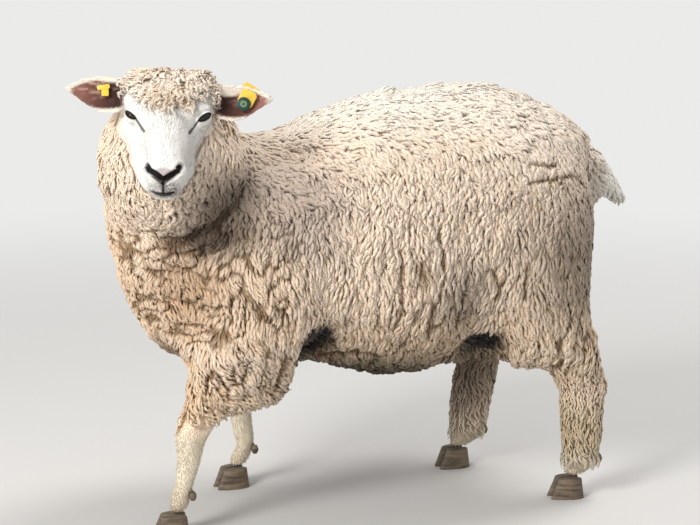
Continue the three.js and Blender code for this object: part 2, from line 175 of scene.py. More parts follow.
class Finish:
    """A material whose nodes are added one at a time."""

    def __init__(self, name, **numbers):
        self.material = bpy.data.materials.new(name)
        self.material.use_nodes = True
        self.tree = self.material.node_tree
        self.shader = self.tree.nodes["Principled BSDF"]
        self.set(**numbers)

    def add(self, kind, settings=None, values=None, output=0):
        node = self.tree.nodes.new(kind)
        for key, value in (settings or {}).items():
            if key == "stops":
                ramp = node.color_ramp.elements
                while len(ramp) < len(value):
                    ramp.new(0.5)
                for stop, (place, colour) in zip(ramp, value):
                    stop.position = place
                    stop.color = (*colour, 1)
            else:
                setattr(node, key, value)
        for key, value in (values or {}).items():
            self.feed(node.inputs[key], value)
        return Field(self, node.outputs[output])

    def feed(self, socket, value):
        if isinstance(value, Field):
            self.tree.links.new(value.socket, socket)
        elif hasattr(value, "__len__") and len(value) == 3 and socket.type == "RGBA":
            socket.default_value = (*value, 1)
        else:
            socket.default_value = value

    def set(self, **values):
        for key, value in values.items():
            self.feed(self.shader.inputs[key.replace("_", " ")], value)

    def mix(self, amount, first, second, blend="MIX"):
        settings = {"data_type": "RGBA", "blend_type": blend}
        return self.add("ShaderNodeMix", settings, {0: amount, 6: first, 7: second}, 2)

    def attribute(self, name, output=2):
        return self.add("ShaderNodeAttribute", {"attribute_name": name}, {}, output)

    def place(self, stretch=(1, 1, 1)):
        spot = self.add("ShaderNodeTexCoord", {}, {}, 3)
        return self.add("ShaderNodeMapping", {}, {"Vector": spot, "Scale": stretch})

    def noise(self, scale, detail=3, stretch=(1, 1, 1), rough=0.5):
        values = {"Vector": self.place(stretch), "Scale": scale, "Detail": detail, "Roughness": rough}
        return self.add("ShaderNodeTexNoise", {}, values)

    def range(self, value, low, high, to_low=0.0, to_high=1.0):
        values = {0: value, 1: low, 2: high, 3: to_low, 4: to_high}
        return self.add("ShaderNodeMapRange", {"interpolation_type": "SMOOTHSTEP"}, values)

    def bump(self, height, distance, strength=1.0):
        values = {"Height": height, "Distance": distance, "Strength": strength}
        self.set(Normal=self.add("ShaderNodeBump", {}, values))


print("shader sums are ready")

# %% [markdown]
# ## The skin, first as one closed surface
# The frame has the flesh in pieces, as a person would name them. On the sheep it is one skin without a seam,
# so copies of the pieces are joined and remeshed: a voxel remesh fills the hair-thin cuts and gives an even
# net of small faces. The thin ears are fattened a little first, so that the net doesn't miss their rims,
# and a globe over each eye gives the net something to make lids from.

# %% Join the flesh and remesh it
EARS = ("ear_left", "ear_right")
flesh = ["head", "neck", "trunk", "tail", *EARS]
flesh += [name for name in frame["nodes"] if name.startswith(("forearm", "thigh", "cannon"))]
SKIN_GRID, SAME_SPOT = 3.4 * MM, 0.01 * MM
EAR_FATTER, LID_THICKNESS = 1.4, 3 * MM


def bring_in(shape, names):
    """Adds the frame's solids to a bmesh, with their loose triangles merged."""
    for name in names:
        shape.from_mesh(frame["nodes"][name].data)
    bmesh.ops.remove_doubles(shape, verts=shape.verts, dist=SAME_SPOT)


def mesh_from(shape, name):
    mesh = bpy.data.meshes.new(name)
    shape.to_mesh(mesh)
    shape.free()
    return mesh


joined = bmesh.new()
bring_in(joined, EARS)
joined.normal_update()
for vert in joined.verts:
    vert.co += vert.normal * EAR_FATTER * MM
bring_in(joined, [name for name in flesh if name not in EARS])
for name in ("eye_left", "eye_right"):
    place = Matrix.Translation(centre(name))
    bmesh.ops.create_icosphere(joined, subdivisions=4, radius=EYE_RADIUS + LID_THICKNESS, matrix=place)
skin = new_object("skin", mesh_from(joined, "skin"))


def applied(piece):
    """Puts what a piece's modifiers make into its mesh."""
    shape = piece.evaluated_get(bpy.context.evaluated_depsgraph_get())
    mesh = bpy.data.meshes.new_from_object(shape)
    piece.modifiers.clear()
    piece.data = mesh
    mesh.name = piece.name


remesh = skin.modifiers.new("remesh", "REMESH")
remesh.mode = "VOXEL"
remesh.voxel_size = SKIN_GRID
applied(skin)


def drop_crumbs(piece):
    """Keeps the largest connected part of a piece and deletes the rest."""
    shape = bmesh.new()
    shape.from_mesh(piece.data)
    unseen, parts = set(shape.verts), []
    while unseen:
        part, edge_of_it = set(), [unseen.pop()]
        while edge_of_it:
            vert = edge_of_it.pop()
            part.add(vert)
            for edge in vert.link_edges:
                other = edge.other_vert(vert)
                if other in unseen:
                    unseen.remove(other)
                    edge_of_it.append(other)
        parts.append(part)
    crumbs = [vert for part in parts if part is not max(parts, key=len) for vert in part]
    bmesh.ops.delete(shape, geom=crumbs, context="VERTS")
    shape.to_mesh(piece.data)
    shape.free()
    return len(parts) - 1


print("loose crumbs deleted:", drop_crumbs(skin))
print("skin after the remesh:", len(skin.data.vertices), "vertices")


# %% [markdown]
# A sheep has no facets, but its face has finer forms than its flank, so one strength of smoothing doesn't
# suit both. The whole net is smoothed three times over, lightly, more and heavily, and each region takes the
# version that suits it. Every round also pushes back out, so the body hardly shrinks.


# %% Smooth it
def read(items, key, columns, kind=np.float32):
    """The same property of many items, a row for each."""
    flat = np.empty(len(items) * columns, kind)
    items.foreach_get(key, flat)
    return flat.reshape(-1, columns)


def points_of(mesh):
    return read(mesh.vertices, "co", 3).astype(float)


def put_points(mesh, points):
    mesh.vertices.foreach_set("co", points.astype(np.float32).ravel())
    mesh.update()


def normals_of(mesh):
    return read(mesh.vertex_normals, "vector", 3).astype(float)


def edges_of(mesh):
    return read(mesh.edges, "vertices", 2, np.int32)


def smoothed(values, edges, rounds, share=0.5, back=0.0):
    """Moves each vertex's value towards its neighbours' mean, and, with back, out again to keep the size."""
    a, b = edges.T
    size = len(values)
    count = np.bincount(edges.ravel(), minlength=size).clip(1)
    columns = values.reshape(size, -1)
    for _ in range(rounds):
        for step in (share, back):
            for n in range(columns.shape[1]):
                total = np.bincount(a, columns[b, n], size) + np.bincount(b, columns[a, n], size)
                columns[:, n] += step * (total / count - columns[:, n])
    return columns.reshape(values.shape)


def ease(values, low, high):
    """Nothing up to the low number, and one from the high one."""
    t = np.clip((values - low) / (high - low), 0, 1)
    return t * t * (3 - 2 * t)


def fade(values, low, high):
    """One up to the low number, and nothing from the high one."""
    return ease(-values, -high, -low)


def ball(points, spot, inner, outer):
    """One within the inner distance of a spot, nothing beyond the outer one."""
    return fade(np.linalg.norm(points - spot, axis=1), inner, outer)


EAR_ROOT_ACROSS = 68


def by_ears(head, start, full):
    """One on both ears, from a little outside their roots."""
    across = ease(np.abs(head[:, 0]), EAR_ROOT_ACROSS + start, EAR_ROOT_ACROSS + full)
    return across * ease(head[:, 2], -120, -95) * fade(head[:, 2], 0, 25) * ease(head[:, 1], -60, -35)


skin_edges = edges_of(skin.data)
points = points_of(skin.data)
head = in_head(points)
ear_share = by_ears(head, -4, 10)
share = ball(head, (0, -20, 20), 115, 150)[:, None]
rough = points.copy()
light = smoothed(points.copy(), skin_edges, 6, 0.5, -0.52)
medium = smoothed(points.copy(), skin_edges, 14, 0.5, -0.49)
heavy = smoothed(points.copy(), skin_edges, 70, 0.5, -0.45)
points = heavy * (1 - share) + medium * share
points = points * (1 - ear_share[:, None]) + light * ear_share[:, None]
put_points(skin.data, points)
print("smoothed, moved at most", round(np.abs(points - rough).max() / MM, 2), "mm")

# %% [markdown]
# ## Ears
# An ear is a leaf that is cupped forwards. It has directions of its own too: out along the leaf from 0 at its
# root to 1 at its tip, and across it, upwards, in half widths. The smoothing has drawn the thin leaves in a
# little, so they are let out again.

# %% Let the ears out
EAR_ROOT = {-1: np.array((-60.0, 6, -36)), 1: np.array((60.0, 1, -31))}
EAR_ACROSS = np.array((0, 0.63, -0.777))
EAR_LENGTH, EAR_HALF = 98, 27
TIP_OUT, LOWER_RIM_OUT, UPPER_RIM_OUT = 4, 6, 5


def along_ear(head):
    """How far out along its ear each point is, and how far across it, measured from its middle line."""
    side = np.where(head[:, 0] < 0, -1, 1)
    root = np.where(side[:, None] < 0, EAR_ROOT[-1], EAR_ROOT[1])
    out = (head - root)[:, 0] * side / EAR_LENGTH
    across = (head - root) @ EAR_ACROSS
    part = np.clip(out, 0, 1)
    half = EAR_HALF * (1 - part) ** 0.8 * (0.68 + 1.95 * part)
    return out, across, np.maximum(half, 3)


head = in_head(points)
out, across, half = along_ear(head)
lower = ease(-across / half, 0.0, 0.8) * fade(out, 0.4, 0.95) * ease(out, -0.05, 0.12)
head[:, 0] += np.sign(head[:, 0]) * ear_share * TIP_OUT * ease(out, 0.3, 1.0)
head -= EAR_ACROSS * (ear_share * lower * LOWER_RIM_OUT)[:, None]
upper = ease(across / half, -0.9, 0.7) * ease(out, 0.25, 0.75)
head += EAR_ACROSS * (ear_share * (upper + UPPER_RIM_OUT * ease(out, 0.35, 1.0)))[:, None]
head -= EAR_ACROSS * (ear_share * across * 0.3 * ease(out, 0.45, 1.0))[:, None]
points = head_origin + head @ head_axes * MM
put_points(skin.data, points)
print("ears let out at", int((ear_share > 0.5).sum()), "vertices")

# %% [markdown]
# ## How deep the coat is
# The solids reach to the tips of the coat, and the skin lies under it: by a centimetre of lying wool on the
# body, and by a hair or two on the face. One function says how deep at any point. Soft edges between the
# regions keep the skin from stepping. A second one lets the skin in further where the wool parts over a
# hollow, and out where the outline is fuller than the smoothing left it.


# %% Where the wool is, and how deep
FACE_ACROSS = np.array((0.998, -0.019, -0.061))
FACE_LIFT = np.array((-0.032, 0.679, -0.733))
FACE_OUT = np.array((0.056, 0.734, 0.677))
EYE_AT = {-1: np.array((-51.0, -1, 1)), 1: np.array((51.0, -1, 1))}
EYE_MM = EYE_RADIUS / MM
LOW_WOOL, UPPER_LESS, HEAD_WOOL, LEG_WOOL, TAIL_WOOL, FACE_HAIR, EAR_DOWN = 11.0, 4.5, 6.5, 10, 3, 1.8, 0.6
SHIN_LESS, HOCK_LESS, HOLLOW_MORE = 7, 6, 24


def near(points, spot, reach):
    """One at a spot, falling to nothing at its reach in each direction."""
    return ease(1 - np.linalg.norm((points - spot) / reach, axis=1), 0.0, 0.75)


FRINGE_AT, FRINGE_HEIGHT = (-60, -50, -42, -35, 0, 26, 34, 42, 50), (80, 70, 46, 24, 19, 17, 30, 54, 64)


def bare_face(points):
    """One on the face, where the hair is short, and nothing in the wool around it."""
    head = in_head(points)
    across, up, out = np.abs(head[:, 0] + 3), head[:, 1], head[:, 2]
    wide = np.interp(out, (-60, -10, 20, 60, 100, 140), (72, 68, 56, 47, 43, 40))
    tall = np.interp(out, (-60, 0, 60, 140), (62, 58, 50, 46))
    middle = np.interp(out, (-60, 0, 60, 140), (-22, -24, -32, -34))
    within = fade(np.hypot(across / wide, (up - middle) / tall), 1.08, 1.22) * ease(out, -60, -40)
    cheek = -34 + 30 * fade(up, -44, -10) + 30 * fade(up, -70, -44)
    sideways, lift = head @ FACE_ACROSS, head @ FACE_LIFT
    fringe = np.interp(sideways, FRINGE_AT, FRINGE_HEIGHT)
    jowl = np.interp(lift, (-104, -93, -70, -51, -31, -8, 2), (80, 42, 42, 46, 58, 76, 96))
    bare = within * ease(out, cheek - 4, cheek + 4)
    bare = bare * ease(fringe - lift, -4, 4) * ease(jowl - sideways, -4, 4)
    for spot in EYE_AT.values():
        bare = np.maximum(bare, ball(head, spot, EYE_MM + 7, EYE_MM + 13))
    return bare


def on_ear(points):
    return by_ears(in_head(points), -2, 9)


def hollows(body):
    """One in the deep folds behind the elbows and in front of the thighs."""
    mirrored = np.stack((body[:, 0], -np.abs(body[:, 1]), body[:, 2]), axis=1)
    elbow = near(mirrored, (-126, -150, 296), (58, 96, 94))
    groin = near(mirrored, (176, -130, 268), (58, 110, 80))
    return np.maximum(elbow, groin) * np.where(body[:, 1] < 0, 1.0, 0.4)


def on_tail(body):
    return ease(body[:, 0], 402, 424) * ease(body[:, 2], 440, 470) * fade(np.abs(body[:, 1]), 26, 42)


def leg_share(points):
    """One on the legs below the body, nothing on the body."""
    return fade(in_body(points)[:, 2], 190, 250)


def coat_depth(points):
    body = in_body(points)
    x, y, z = body.T
    head = in_head(points)
    depth = np.full(len(points), LOW_WOOL)
    depth -= UPPER_LESS * ease(z, 430, 560)
    depth += (HEAD_WOOL - depth) * ball(head, (0, -10, 0), 92, 118)
    fore = fade(x, -60, -40)
    thin_leg = LEG_WOOL - SHIN_LESS * fade(z, 165, 195)
    wool_leg = LEG_WOOL - HOCK_LESS * fade(z, 66, 88)
    depth += ((thin_leg * fore + wool_leg * (1 - fore)) - depth) * leg_share(points)
    depth += (TAIL_WOOL - depth) * on_tail(body)
    depth += (FACE_HAIR - depth) * bare_face(points)
    depth += (EAR_DOWN - depth) * on_ear(points)
    return depth * MM


LET_IN = (
    ((-90, 0, 668), (130, 150, 60), 6),
    ((-448, 40, 595), (90, 160, 80), 12),
    ((434, 0, 390), (60, 260, 150), 7),
    ((415, 0, 545), (90, 200, 120), 9),
    ((-380, -110, 300), (90, 130, 80), -17),
    ((-349, -118, 180), (50, 60, 60), -8),
    ((385, 0, 640), (110, 190, 90), -14),
    ((170, 0, 710), (230, 200, 90), -9),
)


def let_in(points):
    """How much deeper the skin lies than the coat asks, in the hollows and where the outline wants it."""
    body = in_body(points)
    deeper = 2 + HOLLOW_MORE * hollows(body)
    for spot, reach, more in LET_IN:
        deeper += more * near(body, spot, reach)
    deeper += (-6 - deeper) * on_tail(body)
    deeper += 16 * near(body, (432, 0, 478), (46, 70, 44))
    return deeper * (1 - np.maximum(bare_face(points), on_ear(points))) * MM


depth = smoothed(coat_depth(points), skin_edges, 6)
points = points - normals_of(skin.data) * (depth + let_in(points))[:, None]
settled = smoothed(points.copy(), skin_edges, 12, 0.5, -0.3)
keep = np.maximum(bare_face(points), on_ear(points))[:, None]
points = settled * (1 - keep) + points * keep
put_points(skin.data, points)
print("coat depth from", round(depth.min() / MM, 1), "to", round(depth.max() / MM, 1), "mm")


# %% [markdown]
# ## Fewer faces under the wool, more on the face
# Little is seen of the skin under the wool, but the face has lids, nostrils and lips a millimetre or two
# wide. A Decimate modifier thins the net, and its vertex group keeps the short-haired parts fine.

# %% Thin the net under the wool
def weigh(piece, name, weights):
    group = piece.vertex_groups.new(name=name)
    for level in range(1, 11):
        chosen = np.flatnonzero(np.round(weights * 10) == level)
        group.add(chosen.tolist(), level / 10, "REPLACE")


def spot_finder(places):
    tree = KDTree(len(places))
    for index, place in enumerate(places):
        tree.insert(place, index)
    tree.balance()
    return tree


weigh(skin, "under_wool", ease(depth / MM, 5, 8))
thin = skin.modifiers.new("thin", "DECIMATE")
thin.ratio = 0.22
thin.vertex_group = "under_wool"
full_points, full_depth = points, depth
applied(skin)
skin.vertex_groups.clear()
finder = spot_finder(full_points)
nearest = [finder.find(place)[1] for place in points_of(skin.data)]
coat = skin.data.attributes.new("coat", "FLOAT", "POINT")
coat.data.foreach_set("value", full_depth[nearest].astype(np.float32))
print("skin under the wool thinned to", len(skin.data.polygons), "faces")


# %% [markdown]
# The nostrils, the mouth and the tear lines are drawn as paths on a plane laid over the face, where they are
# easy to measure. subdivide_edges then splits the net twice: all over the face, and once more by these lines
# and round the eyes.


# %% Refine the net on the face
def refine(piece, chosen):
    shape = bmesh.new()
    shape.from_mesh(piece.data)
    edges = [edge for edge in shape.edges if chosen[edge.verts[0].index] and chosen[edge.verts[1].index]]
    bmesh.ops.subdivide_edges(shape, edges=edges, cuts=1, use_grid_fill=True)
    bmesh.ops.triangulate(shape, faces=[face for face in shape.faces if len(face.verts) > 4])
    shape.to_mesh(piece.data)
    shape.free()
    return points_of(piece.data)


def face_plan(head):
    """Across and upwards on a plane laid over the face, square to a person who looks at it."""
    return np.stack((head @ FACE_ACROSS, head @ FACE_LIFT), axis=1)


def from_line(spots, path, thin=0.0, thick=0.0):
    """How far each spot is from a line through the points of a path, which may thicken from end to end."""
    best = np.full(len(spots), np.inf)
    legs = len(path) - 1
    for leg, (start, end) in enumerate(zip(path[:-1], path[1:])):
        start, run = np.array(start), np.array(end) - np.array(start)
        part = np.clip((spots - start) @ run / (run @ run), 0, 1)
        half = thin + (thick - thin) * (leg + part) / legs
        best = np.minimum(best, np.linalg.norm(spots - start - part[:, None] * run, axis=1) - half)
    return best


NOSTRILS = (
    ((-33.4, -77), (-31.4, -82.4), (-25.7, -86.2), (-18.9, -90.1), (-11.2, -96.5)),
    ((17.4, -79), (14.8, -84.4), (8, -89.2), (0.3, -93.9), (-5.5, -97.5)),
)
NOSE_FOLD = ((-14, -95), (-8.4, -103.5), (-3, -96))
LIP_CLEFT = ((-8.4, -103), (-8.3, -118))
MOUTH = ((-25, -117.5), (-19, -119.4), (-14, -120.2), (-8.3, -120.6), (0, -120), (8, -118))
TEAR_LINES = (((-49.5, -6.5), (-38, -25)), ((46.5, -9.5), (32, -28)))


def from_lines(spots, paths, thin=0.0, thick=0.0):
    return np.min([from_line(spots, path, thin, thick) for path in paths], axis=0)


points = points_of(skin.data)
points = refine(skin, (bare_face(points) > 0.4) & (on_ear(points) < 0.5))
head = in_head(points)
plan = face_plan(head)
lines = from_lines(plan, (*NOSTRILS, NOSE_FOLD, LIP_CLEFT, MOUTH))
tears = from_lines(plan, TEAR_LINES)
fine = (lines < 9) & (head[:, 2] > 55) | (tears < 4) & (head[:, 2] > 0) & (head[:, 2] < 70)
for spot in EYE_AT.values():
    fine |= np.linalg.norm(head - spot, axis=1) < EYE_MM + 10
points = refine(skin, fine)
soften = bare_face(points)[:, None]
points += (smoothed(points.copy(), edges_of(skin.data), 5, 0.5, -0.48) - points) * soften
put_points(skin.data, points)
print("skin refined to", len(points), "vertices")

# %% [markdown]
# ## Lids
# A sheep's lids are thick and dark at the edge, and lie close on the eyeball. So every vertex near an eye is
# placed by its direction from the eyeball's centre: outside the almond it lies just over the ball, and inside
# the almond it sinks, which leaves a clean opening.


# %% Shape the lids
LID_SPAN = {-1: 38, 1: 43}
LIDS = {-1: (12.0, 11.0), 1: (16.0, 11.0)}
LID_OVER_BALL, BALL_INSIDE = 1.2, 3.5


def unit(vector):
    return vector / np.linalg.norm(vector, axis=-1, keepdims=True)


def almond(head, side):
    """Millimetres outside the edge of an eye's opening, and degrees up from its middle line."""
    away = unit(head - EYE_AT[side])
    ahead = unit(np.array((0.45 * side, 0.60, 0.66)))
    inner, outer = np.array((-0.235 * side, 0.30, 0.92)), np.array((0.93 * side, 0.36, -0.08))
    along = unit((outer - inner) - ((outer - inner) @ ahead) * ahead)
    upward = np.cross(ahead, along)
    upward *= np.sign(upward @ np.array((0, 1, -0.6)))
    span = np.degrees(np.arctan2(away @ along, away @ ahead))
    rise = np.degrees(np.arcsin(np.clip(away @ upward, -1, 1)))
    open_share = np.clip(1 - (span / LID_SPAN[side]) ** 2, 0, 1) ** 0.75
    lid = np.where(rise > 0, *LIDS[side]) * open_share
    past = np.maximum(np.abs(span) - LID_SPAN[side], 0)
    edge = np.where(past > 0, np.hypot(past, rise), np.abs(rise) - lid)
    return edge * math.radians(1) * EYE_MM, rise


lid_line = np.full(len(points), 99.0)
head = in_head(points)
for side, spot in EYE_AT.items():
    away = head - spot
    far = np.linalg.norm(away, axis=1)
    edge, rise = almond(head, side)
    ahead = unit(away) @ unit(np.array((0.45 * side, 0.60, 0.66)))
    held = fade(far, EYE_MM + 6, EYE_MM + 16) * ease(ahead, -0.25, 0.1)
    close = held * fade(edge, 2, 9)
    lid = EYE_MM + 1.5 + 1.1 * np.exp(-((edge - 1.4) / 1.5) ** 2) * np.where(rise > 0, 1.2, 0.8)
    crease = 1.3 * np.exp(-((edge - 5.0) / 1.2) ** 2) * ease(rise, 2, 14)
    reach = far * (1 - close) + (lid - crease) * close
    reach = np.where(held > 0.5, np.maximum(reach, EYE_MM + LID_OVER_BALL), reach)
    sunk = fade(edge, -1.1, 0.35) * held
    reach = reach * (1 - sunk) + (EYE_MM - BALL_INSIDE) * sunk
    head = spot + away / far[:, None] * np.where(held > 0, reach, far)[:, None]
    lid_line = np.where(held > 0.3, np.minimum(lid_line, np.abs(edge)), lid_line)
points = head_origin + head @ head_axes * MM
print("lid edge vertices:", int((lid_line < 1).sum()))

# %% [markdown]
# ## Nostrils and lips
# The nostrils are slanted slits that meet the cleft of the upper lip in a Y. A cutter would leave hard rims,
# so each vertex is pushed in by its distance from the nearest path, and a little out beside it, as flesh
# bulges beside a crease.

# %% Press in the nostrils and the mouth
NOSTRIL_DEEP, FOLD_DEEP, CLEFT_DEEP, MOUTH_DEEP, TEAR_DEEP = 5.5, 1.6, 1.8, 2.6, 1.2
NOSTRIL_RIM, LIP_OUT = 1.5, 0.9
NOSTRIL_THICK = (3.9, 3.6)


def groove(distance, width):
    """One along a line, rounding off to nothing a few widths away."""
    return np.exp(-((distance / width) ** 2))


put_points(skin.data, points)
plan = face_plan(head)
facing = (normals_of(skin.data) @ head_axes.T) @ FACE_OUT
front = ease(head[:, 2], 91, 97) * ease(facing, -0.1, 0.2)
nostril = from_lines(plan, NOSTRILS, *NOSTRIL_THICK)
fold, cleft, mouth = (from_line(plan, path) for path in (NOSE_FOLD, LIP_CLEFT, MOUTH))
press = NOSTRIL_DEEP * fade(nostril, -1.0, 3.0) - NOSTRIL_RIM * groove(nostril - 5.0, 2.4)
press += FOLD_DEEP * groove(fold, 1.8) + CLEFT_DEEP * groove(cleft, 1.3)
press += MOUTH_DEEP * groove(mouth, 1.5) - LIP_OUT * groove(mouth - 4, 2.2)
on_cheek = ease(head[:, 2], 5, 15) * fade(head[:, 2], 50, 70)
pressed = press * front + TEAR_DEEP * groove(from_lines(plan, TEAR_LINES), 1.6) * on_cheek
points = points - normals_of(skin.data) * pressed[:, None] * MM
put_points(skin.data, points)
print("pressed in by up to", round(pressed.max(), 1), "mm")

# %% [markdown]
# ## An unwrap of the skin
# A finish painted into an image needs to know where on the image each face lies.
# Smart Project unwraps the skin by its own shape. The locks borrow a spot from it, at their roots.

# %% Unwrap
for other in bpy.context.view_layer.objects:
    other.select_set(False)
skin.select_set(True)
bpy.context.view_layer.objects.active = skin
skin.data.uv_layers.new(name="OFBake")
bpy.ops.object.mode_set(mode="EDIT")
bpy.ops.mesh.select_all(action="SELECT")
bpy.ops.uv.smart_project(angle_limit=math.radians(66), island_margin=0.002)
bpy.ops.object.mode_set(mode="OBJECT")
skin.data.shade_smooth()
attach(skin, "root")
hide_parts(*flesh)
print("skin:", len(skin.data.polygons), "faces")

# %% [markdown]
# ## Colours of the coat
# The fleece is cream, palest along the back, partly by painted light from above, duller low on the flank and
# grey where the legs rub. Each marking is a soft patch at a place on the body, mixed over the cream in turn,
# and some patches are painted shade: under the belly, the brisket, the bib and the ruff, on the haunch, in
# the hip parting and on the far hind leg. The skin and every lock ask the same function, so they agree
# everywhere.


# %% Colours by place
def drift(points, size, seed):
    """Smooth noise from -1 to 1 that changes over the given size in metres."""
    shift = Vector((seed * 7.31, seed * 3.17, seed * 5.71))
    return np.array([noise.noise(Vector(spot) / size + shift) for spot in points.tolist()]) * 1.6


def shade(red, green, blue):
    """A colour from 0 to 255, as written for a screen, in the linear numbers that Blender counts in."""
    tones = np.array((red, green, blue)) / 255
    return np.where(tones <= 0.04045, tones / 12.92, ((tones + 0.055) / 1.055) ** 2.4)


CREAM = shade(254, 234, 213)
# Real markings, with painted light along the back and painted shade in the places named below.
MARKINGS_AND_PAINTED_LIGHT = (
    # Painted light from above, over paler wool along the back and the hips.
    ((20, 0, 720), (480, 250, 160), (255, 247, 235), 1.0),
    ((250, 0, 640), (210, 260, 140), (255, 243, 230), 0.7),
    ((-190, -170, 550), (160, 170, 130), (184, 168, 156), 0.85),
    ((-190, 170, 550), (160, 170, 130), (204, 190, 176), 0.7),
    ((40, 0, 300), (330, 340, 120), (198, 174, 145), 0.8),
    # Painted shade under the belly.
    ((0, 0, 238), (350, 260, 106), (84, 74, 56), 0.95),
    ((118, -200, 390), (80, 110, 100), (146, 136, 124), 0.65),
    ((118, 200, 390), (80, 110, 100), (146, 136, 124), 0.4),
    # Painted shade under the brisket, between the forelegs.
    ((-355, -50, 312), (50, 80, 44), (116, 90, 62), 0.7),
    ((-230, 0, 430), (110, 330, 170), (222, 195, 163), 0.75),
    ((-400, 20, 450), (120, 190, 170), (245, 219, 190), 0.8),
    # Painted shade below the bib, and the head's painted shadow on the ruff.
    ((-330, -120, 455), (90, 110, 90), (186, 156, 124), 0.6),
    ((-300, -130, 560), (110, 110, 90), (116, 102, 88), 0.92),
    ((-368, -100, 518), (36, 60, 40), (240, 226, 204), 0.8),
    # Painted shadow under the edge of the bib.
    ((-300, -140, 506), (100, 100, 50), (84, 67, 50), 0.9),
    ((-330, -120, 400), (80, 150, 90), (210, 178, 144), 0.7),
    ((-360, -90, 600), (120, 120, 60), (230, 210, 186), 0.7),
    # Painted shade on the haunch and the rump, which face away from the key lamp, with some dirt.
    ((325, 0, 440), (200, 460, 180), (144, 129, 112), 0.9),
    ((420, 0, 430), (120, 330, 150), (170, 155, 138), 0.7),
    # Painted shade along the parting over the hip.
    ((195, 0, 520), (30, 330, 130), (206, 188, 168), 0.5),
    ((330, 0, 250), (120, 300, 80), (202, 184, 158), 0.7),
    ((350, -118, 120), (130, 90, 110), (202, 184, 150), 0.8),
    # Painted shade of the body on the far hind leg and thigh.
    ((240, 118, 240), (110, 90, 190), (90, 74, 57), 0.84),
    ((455, 0, 540), (90, 100, 130), (255, 249, 240), 1.0),
    ((-330, -118, 230), (100, 80, 90), (244, 217, 184), 0.8),
    ((-230, 118, 230), (100, 80, 90), (222, 197, 166), 0.8),
)
FACE_WHITE, LEG_WHITE = shade(235, 233, 229), shade(228, 217, 196)
LEG_SOIL, PINK, NOSE_GREY = shade(186, 168, 142), shade(174, 158, 158), shade(138, 128, 124)
EAR_CREAM, EAR_PINK = shade(240, 228, 214), shade(142, 98, 88)
EAR_BROWN, EAR_DARK, EAR_HAIR = shade(92, 56, 49), shade(46, 29, 24), shade(214, 180, 164)
CROWN_CREAM, FRINGE_SHADOW, HOLLOW_PAINTED_SHADE = shade(254, 239, 222), shade(212, 184, 154), shade(34, 27, 22)
WHISKER_AND_SHADE_GREY, TEAR_BROWN, NEAR_BLACK = shade(112, 107, 108), shade(52, 44, 42), shade(16, 12, 11)
CROWN_AT = (0, 10, -30)


def layered(colours, *layers):
    """Mixes further colours over the first ones in turn, each by its own amount."""
    for amount, colour in layers:
        colours = colours + (colour - colours) * np.clip(amount, 0, 1)[:, None]
    return colours


def ear_tints(colours, points, normals):
    """Brown pink skin inside the cups, darkest at the root, with a pale rim."""
    head = in_head(points)
    out, across, half = along_ear(head)
    opening = (normals @ head_axes.T) @ np.array((0, 0.777, 0.63))
    inside = on_ear(points) * ease(opening, 0.0, 0.3) * fade(np.abs(across / half + 0.1), 0.72, 0.92)
    inside *= fade(out, 0.88, 1.0)
    woolly_top = np.where(head[:, 0] > 0, 0.30, 0.62) + 0.5 * ease(out, 0.35, 0.8)
    inside *= ease(woolly_top - across / half, -0.1, 0.1)
    run = np.stack((out * EAR_LENGTH * 0.16, across, across * 0), axis=1) * MM
    hairs = ease(drift(run, 0.0030, 19), -0.1, 0.7) * ease(across / half + 0.35 * out, -0.6, 0.7)
    return layered(
        colours,
        (inside, EAR_PINK),
        (inside * fade(out, 0.5, 0.85), EAR_BROWN),
        (inside * fade(out, 0.2, 0.6) * 0.9, EAR_DARK),
        (inside * hairs * 0.7, EAR_HAIR),
    )


def coat_colours(points, normals):
    body, head = in_body(points), in_head(points)
    knee = np.where(body[:, 0] < 0, 170, 90)
    colours = layered(
        np.tile(CREAM, (len(points), 1)),
        *((near(body, spot, reach) * amount, shade(*tones)) for spot, reach, tones, amount in MARKINGS_AND_PAINTED_LIGHT),
        (ball(head, CROWN_AT, 75, 105) * ease(head[:, 1], -30, 0) * 0.9, CROWN_CREAM),
        (near(head, (6, 30, 0), (46, 34, 44)) * 0.6, FRINGE_SHADOW),
        # Painted shade deep in the folds behind the elbows and in front of the thighs.
        (ease(hollows(body), 0.1, 0.6), HOLLOW_PAINTED_SHADE),
        (ease(knee - body[:, 2], -25, 20), LEG_WHITE),
        (fade(body[:, 2], 30, 100) * 0.7, LEG_SOIL),
        (bare_face(points), FACE_WHITE),
        (on_ear(points), EAR_CREAM),
    )
    return ear_tints(colours, points, normals)


print("cream:", CREAM.round(3), "patches:", len(MARKINGS_AND_PAINTED_LIGHT))

# %% [markdown]
# On the skin come the bare places as well: the grey pink nose between the nostrils, grey lips with freckles
# of whisker roots, deepened by painted shade on the sheep's left side of the muzzle, dark lids and tear
# lines, and the black inside of the nostrils.


# %% Colours of the skin
PAD_AT, PAD_SIZE = (-8.5, -92), (19, 13)


def paint(piece, name, colours):
    layer = piece.data.color_attributes.new(name, "FLOAT_COLOR", "POINT")
    rgba = np.ones((len(colours), 4), np.float32)
    rgba[:, :3] = colours
    layer.data.foreach_set("color", rgba.ravel())


